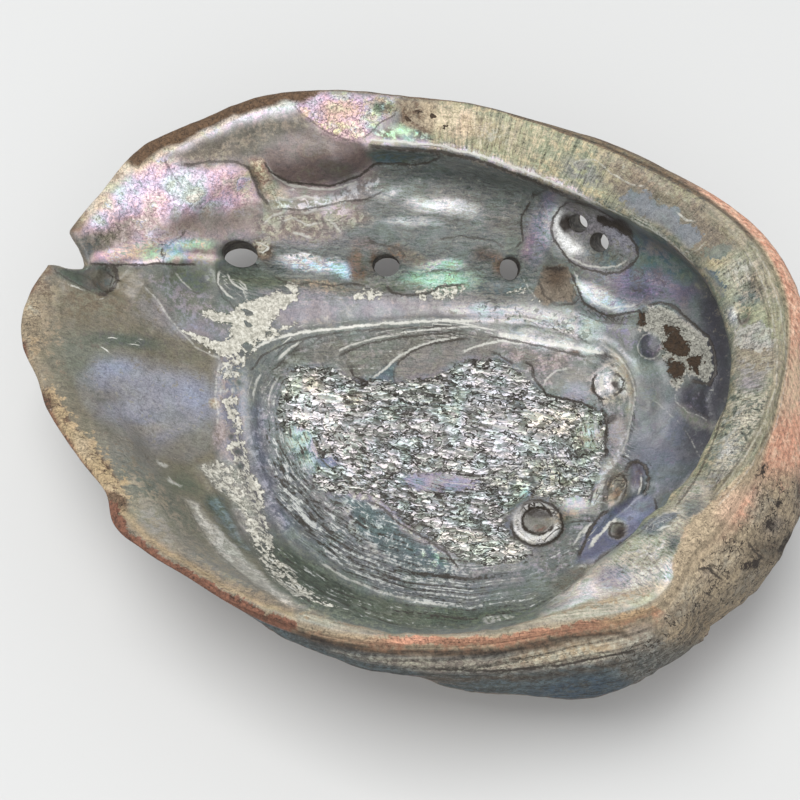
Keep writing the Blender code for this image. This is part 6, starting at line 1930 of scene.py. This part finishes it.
def nacre_material():
    """Mother of pearl: a play of colour under a soft gloss, flaky in the scar, with chalk and brown pits."""
    graph = Graph("nacre")
    place = graph.add("TexCoord", {}, 3)
    bent, mottle, colour, grain, cloud, chalk, brown = painted_base(graph, place)
    painted = colour
    shine, flake, streak = graph.parts("look")
    dull, scar_lines, rim_lines = graph.parts("finish")
    from_scar, from_rim, along_rim = graph.parts("flow")
    _, _, cross_lines = graph.parts("pale")

    brushed_place = graph.add("Mapping", {"Vector": bent, "Rotation": (0, 0, -0.15), "Scale": (0.14, 1.0, 0.6)})
    brushed = centred(graph, graph.noise(brushed_place, 1700.0, 3.0, 0.7))
    brushed = graph.math("MULTIPLY", brushed, streak)
    growths = []
    slow = graph.add("VectorMath", {0: bent, "Scale": 190.0}, operation="SCALE")
    for from_line, amount, fine in ((from_scar, scar_lines, 1.3), (from_rim, rim_lines, 1.9)):
        across = graph.add("CombineXYZ", {0: graph.math("MULTIPLY", from_line, fine)})
        lined = graph.noise(graph.add("VectorMath", {0: slow, 1: across}, operation="ADD"), 1.0, 3.0, 0.7)
        growths.append(graph.math("MULTIPLY", centred(graph, lined), amount))
    fan = graph.add("CombineXYZ", {0: graph.math("MULTIPLY", along_rim, 1.7), 1: graph.math("MULTIPLY", from_rim, 0.32)})
    fan = graph.add("VectorMath", {0: fan, 1: graph.add("VectorMath", {0: bent, "Scale": 240.0}, operation="SCALE")},
                    operation="ADD")
    crossing = graph.math("MULTIPLY", centred(graph, graph.noise(fan, 1.0, 3.0, 0.7)), cross_lines)
    growth = graph.math("ADD", *growths)
    brushed = graph.total(growth, 1.5, graph.total(crossing, 1.5, brushed))
    crust = graph.math("MULTIPLY", centred(graph, graph.noise(bent, 1500.0, 3.0, 0.75)), dull)
    hue_drive = graph.total(graph.noise(bent, 120.0, 1.0), 1.5, graph.math("MULTIPLY", cloud, 0.4))
    hues = graph.ramp(graph.math("FRACT", graph.total(brushed, 0.7, graph.total(grain, 0.1, hue_drive))), NACRE_HUES)
    play = graph.mix(graph.math("MULTIPLY", shine, 0.8, clamp=True), (1, 1, 1, 1), hues)
    colour = graph.mix(1.0, colour, play, "MULTIPLY")

    gain = graph.total(brushed, 1.2, graph.total(grain, 1.4, graph.total(cloud, 0.9, 1.03)))
    gain = graph.total(mottle, 0.85, gain)
    ridged = graph.math("ABSOLUTE", centred(graph, graph.noise(bent, 640.0, 2.0, 0.6)))
    wrinkles = graph.math("MULTIPLY", graph.step(ridged, 0.06, 0.0), dull)
    gain = graph.total(wrinkles, -0.34, graph.total(crust, 1.7, gain))
    colour = graph.mix(1.0, colour, graph.add("CombineColor", dict.fromkeys(range(3), gain)), "MULTIPLY")
    tone = flake_tone_with_painted_light(graph, bent, mottle, cloud, graph.step(flake, 1.1, 1.4))
    tone = graph.total(flake, 0.3, graph.math("SUBTRACT", tone, 0.27))
    flakes = graph.mix(0.45, graph.ramp(tone, FLAKE_TONES), play, "MULTIPLY")
    flakes = graph.mix(0.5, flakes, graph.mix(1.0, painted, (4.3, 4.2, 3.9, 1), "MULTIPLY"), "MULTIPLY")
    flaky = graph.step(graph.total(cloud, 1.2, flake), 0.35, 0.6)
    colour = graph.mix(flaky, colour, flakes)
    chalky = graph.total(growth, 1.5, graph.total(mottle, 1.8, graph.total(cloud, 1.2, chalk)))
    chalky = graph.step(chalky, -0.08, 0.08)
    chalk_tone = graph.ramp(graph.total(grain, 1.5, graph.total(cloud, 2.2, 0.45)), CHALK_TONES)
    colour = graph.mix(graph.math("MULTIPLY", chalky, 0.9), colour, chalk_tone)
    pitted = graph.step(graph.total(mottle, 1.8, graph.total(cloud, 1.7, brown)), -0.08, 0.1)
    colour = graph.mix(pitted, colour, graph.ramp(graph.total(cloud, 1.2, 0.5), [(0.2, (0.022, 0.014, 0.008)),
                                                                                (0.9, (0.085, 0.05, 0.027))]))
    strands = graph.total(cloud, graph.math("MULTIPLY", scar_lines, 0.6), growths[0])
    colour = graph.mix(graph.step(strands, -0.08, -0.16), colour, (0.045, 0.038, 0.03, 1))
    colour = graph.mix(graph.math("MULTIPLY", graph.step(strands, 0.1, 0.18), 0.85), colour, (0.60, 0.61, 0.58, 1))
    colour, pale, dark = drawn_lines(graph, colour, grain, cloud, mottle)

    worn = graph.math("MAXIMUM", graph.math("MAXIMUM", chalky, pitted), dull, clamp=True)
    roughness = graph.total(worn, 0.45, graph.total(cloud, 0.25, 0.34))
    height = graph.total(grain, 0.7, graph.math("MULTIPLY", cloud, 1.3))
    height = graph.total(strands, 4.0, graph.total(brushed, 1.4, graph.total(crust, 3.0, height)))
    height = graph.total(wrinkles, -1.2, height)
    height = graph.total(graph.math("MULTIPLY", flaky, tone), 3.4, height)
    height = graph.total(chalky, 2.4, height)
    height = graph.total(pitted, -2.6, height)
    height = graph.total(pale, 0.8, graph.total(dark, -1.6, height))
    graph.shader.inputs["Coat Roughness"].default_value = 0.22
    coat = graph.total(worn, -0.25, 0.25)
    return finish(graph, colour, roughness, height, coat)


def outer_material():
    """The outer layer: dull, gritty and crusted, with fine growth lines."""
    graph = Graph("outer_layer")
    place = graph.add("TexCoord", {}, 3)
    bent, mottle, colour, grain, cloud, chalk, brown = painted_base(graph, place, 0.5)
    _, _, rim_lines = graph.parts("finish")
    from_crest, _, _ = graph.parts("flow")
    apex = ((APEX[0] - MIDDLE[0]) * MM, (APEX[1] - MIDDLE[1]) * MM, 0)
    flat = graph.add("VectorMath", {0: bent, 1: (1, 1, 0.35)}, operation="MULTIPLY")
    reach = graph.add("VectorMath", {0: flat, 1: apex}, 1, operation="DISTANCE")
    growth = graph.math("SINE", graph.total(cloud, 2.4, graph.math("MULTIPLY", reach, 4200.0)))
    crust = centred(graph, graph.noise(bent, 1100.0, 6.0, 0.75))
    layers = graph.add("CombineXYZ", {0: graph.math("MULTIPLY", from_crest, 0.9)})
    slow = graph.add("VectorMath", {0: bent, "Scale": 70.0}, operation="SCALE")
    layers = centred(graph, graph.noise(graph.add("VectorMath", {0: slow, 1: layers}, operation="ADD"), 1.0, 3.0, 0.7))
    gain = graph.total(growth, 0.10, graph.total(crust, 2.8, graph.total(grain, 1.2, 1.1)))
    gain = graph.total(mottle, 1.3, graph.total(layers, graph.total(rim_lines, 1.2, 1.0), gain))
    ridged = graph.math("ABSOLUTE", centred(graph, graph.noise(bent, 520.0, 3.0, 0.6)))
    rough = graph.step(brown, -0.95, -0.55)
    wrinkles = graph.math("MULTIPLY", graph.step(ridged, 0.05, 0.0), graph.total(rough, 0.7, 0.3))
    gain = graph.total(wrinkles, -0.18, gain)
    colour = graph.mix(1.0, colour, graph.add("CombineColor", dict.fromkeys(range(3), gain)), "MULTIPLY")
    wander = graph.math("ABSOLUTE", centred(graph, graph.noise(bent, 330.0, 3.0, 0.6)))
    loose = graph.step(graph.total(crust, 1.0, mottle), -0.12, 0.02)
    cracks = graph.math("MULTIPLY", graph.math("MULTIPLY", graph.step(wander, 0.032, 0.01), loose), rough)
    colour = graph.mix(cracks, colour, (0.045, 0.032, 0.022, 1))
    specks = graph.step(graph.total(crust, 1.0, graph.math("MULTIPLY", grain, 0.8)), 0.22, 0.34)
    colour = graph.mix(specks, colour, (0.5, 0.46, 0.38, 1))
    pitted = graph.step(graph.total(mottle, 2.2, graph.total(crust, 1.8, brown)), -0.08, 0.12)
    colour = graph.mix(pitted, colour, (0.035, 0.024, 0.017, 1))
    colour, pale, dark = drawn_lines(graph, colour, grain, cloud, mottle)
    height = graph.total(grain, 1.2, graph.math("MULTIPLY", crust, 6.0))
    height = graph.total(growth, 0.5, graph.total(pitted, -2.5, graph.total(layers, 5.0, height)))
    height = graph.total(wrinkles, -2.0, height)
    height = graph.total(pale, 1.0, graph.total(dark, -2.0, height))
    graph.shader.inputs["Coat Roughness"].default_value = 0.3
    return finish(graph, colour, graph.total(grain, 0.2, 0.85), height, 0.0)


def keep_paint(mesh, brush):
    """Stores the brush's channels on the mesh, three numbers to an attribute."""
    channels = brush.channels
    pack = lambda *columns: np.stack([*columns, np.ones(len(brush.where))], -1)
    none = np.zeros(len(brush.where))
    tables = {
        "tint": pack(*channels["tint"].T),
        "other": pack(*channels["other"].T),
        "spread": pack(channels["cover"], channels["chalk"], channels["brown"]),
        "look": pack(channels["shine"], channels["flake"], channels["streak"]),
        "finish": pack(channels["dull"], channels["scar_lines"], channels["rim_lines"]),
        "flow": pack(brush.from_edge, brush.from_rim, brush.along_rim),
        "dark": pack(brush.lines["dark"][:, 1], brush.lines["dark"][:, 2], none),
        "pale": pack(brush.lines["pale"][:, 1], brush.lines["pale"][:, 2], channels["cross_lines"]),
    }
    for name, table in tables.items():
        attribute = mesh.attributes.new(name, "FLOAT_COLOR", "POINT")
        attribute.data.foreach_set("color", table.astype(np.float32).ravel())


def make_shell():
    """The shell as one dressed mesh."""
    points, place, faces = build_shell()
    mesh = bpy.data.meshes.new("shell_nacre")
    mesh.from_pydata(((points - MIDDLE) * MM).tolist(), [], faces)
    build = bmesh.new()
    build.from_mesh(mesh)
    bmesh.ops.recalc_face_normals(build, faces=build.faces)
    build.to_mesh(mesh)
    build.free()
    mesh.shade_smooth()
    outward = np.empty(len(points) * 3)
    mesh.vertices.foreach_get("normal", outward)
    to_eye = camera_axes()[0] - points
    facing = (outward.reshape(-1, 3) * to_eye).sum(1) / np.linalg.norm(to_eye, axis=1)
    keep_paint(mesh, paint_shell(points, place, facing))
    mesh.materials.append(nacre_material())
    mesh.materials.append(outer_material())
    for polygon in mesh.polygons:
        middle = place[list(polygon.vertices)].mean()
        polygon.material_index = int(RIM_PLACE < middle < 19)
    piece = bpy.data.objects.new("shell_nacre", mesh)
    bpy.context.scene.collection.objects.link(piece)
    return piece


shell = make_shell()
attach(shell, "root")
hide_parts("abalone_shell")


def stage():
    """A pale floor, soft light from above and behind, and the camera."""
    floor_mesh = bpy.data.meshes.new("floor")
    floor_mesh.from_pydata([(-4, -4, 0), (4, -4, 0), (4, 4, 0), (-4, 4, 0)], [], [(0, 1, 2, 3)])
    floor = bpy.data.objects.new("floor", floor_mesh)
    bpy.context.scene.collection.objects.link(floor)
    pale = bpy.data.materials.new("pale_floor")
    pale.use_nodes = True
    shader = pale.node_tree.nodes["Principled BSDF"]
    shader.inputs["Base Color"].default_value = (0.6, 0.6, 0.59, 1)
    shader.inputs["Roughness"].default_value = 0.9
    floor_mesh.materials.append(pale)
    world = bpy.data.worlds.new("soft_room")
    world.use_nodes = True
    world.node_tree.nodes["Background"].inputs["Color"].default_value = (0.95, 0.97, 1.0, 1)
    world.node_tree.nodes["Background"].inputs["Strength"].default_value = 0.62
    bpy.context.scene.world = world
    for name, place_at, size, power in (
        ("soft_key", (-0.35, 0.1, 1.8), 1.2, 27.0),
        ("soft_fill", (0.2, -1.5, 1.1), 1.4, 9.0),
    ):
        lamp = bpy.data.lights.new(name, "AREA")
        lamp.size = size
        lamp.energy = power
        lamp_object = bpy.data.objects.new(name, lamp)
        lamp_object.location = place_at
        aim = Vector((0, 0, 0.02)) - Vector(place_at)
        lamp_object.rotation_euler = aim.to_track_quat("-Z", "Y").to_euler()
        bpy.context.scene.collection.objects.link(lamp_object)
    eye, right, up, forward = camera_axes()
    view = bpy.data.cameras.new("view")
    view.sensor_width = 36
    view.lens = 36 * PIXELS_PER_DEPTH / IMAGE_SIDE
    camera = bpy.data.objects.new("view", view)
    turn = Matrix([right, up, -forward]).transposed().to_4x4()
    camera.matrix_world = Matrix.Translation(Vector((eye - MIDDLE) * MM)) @ turn
    bpy.context.scene.collection.objects.link(camera)
    bpy.context.scene.camera = camera


stage()
bpy.context.scene.view_settings.view_transform = "Standard"
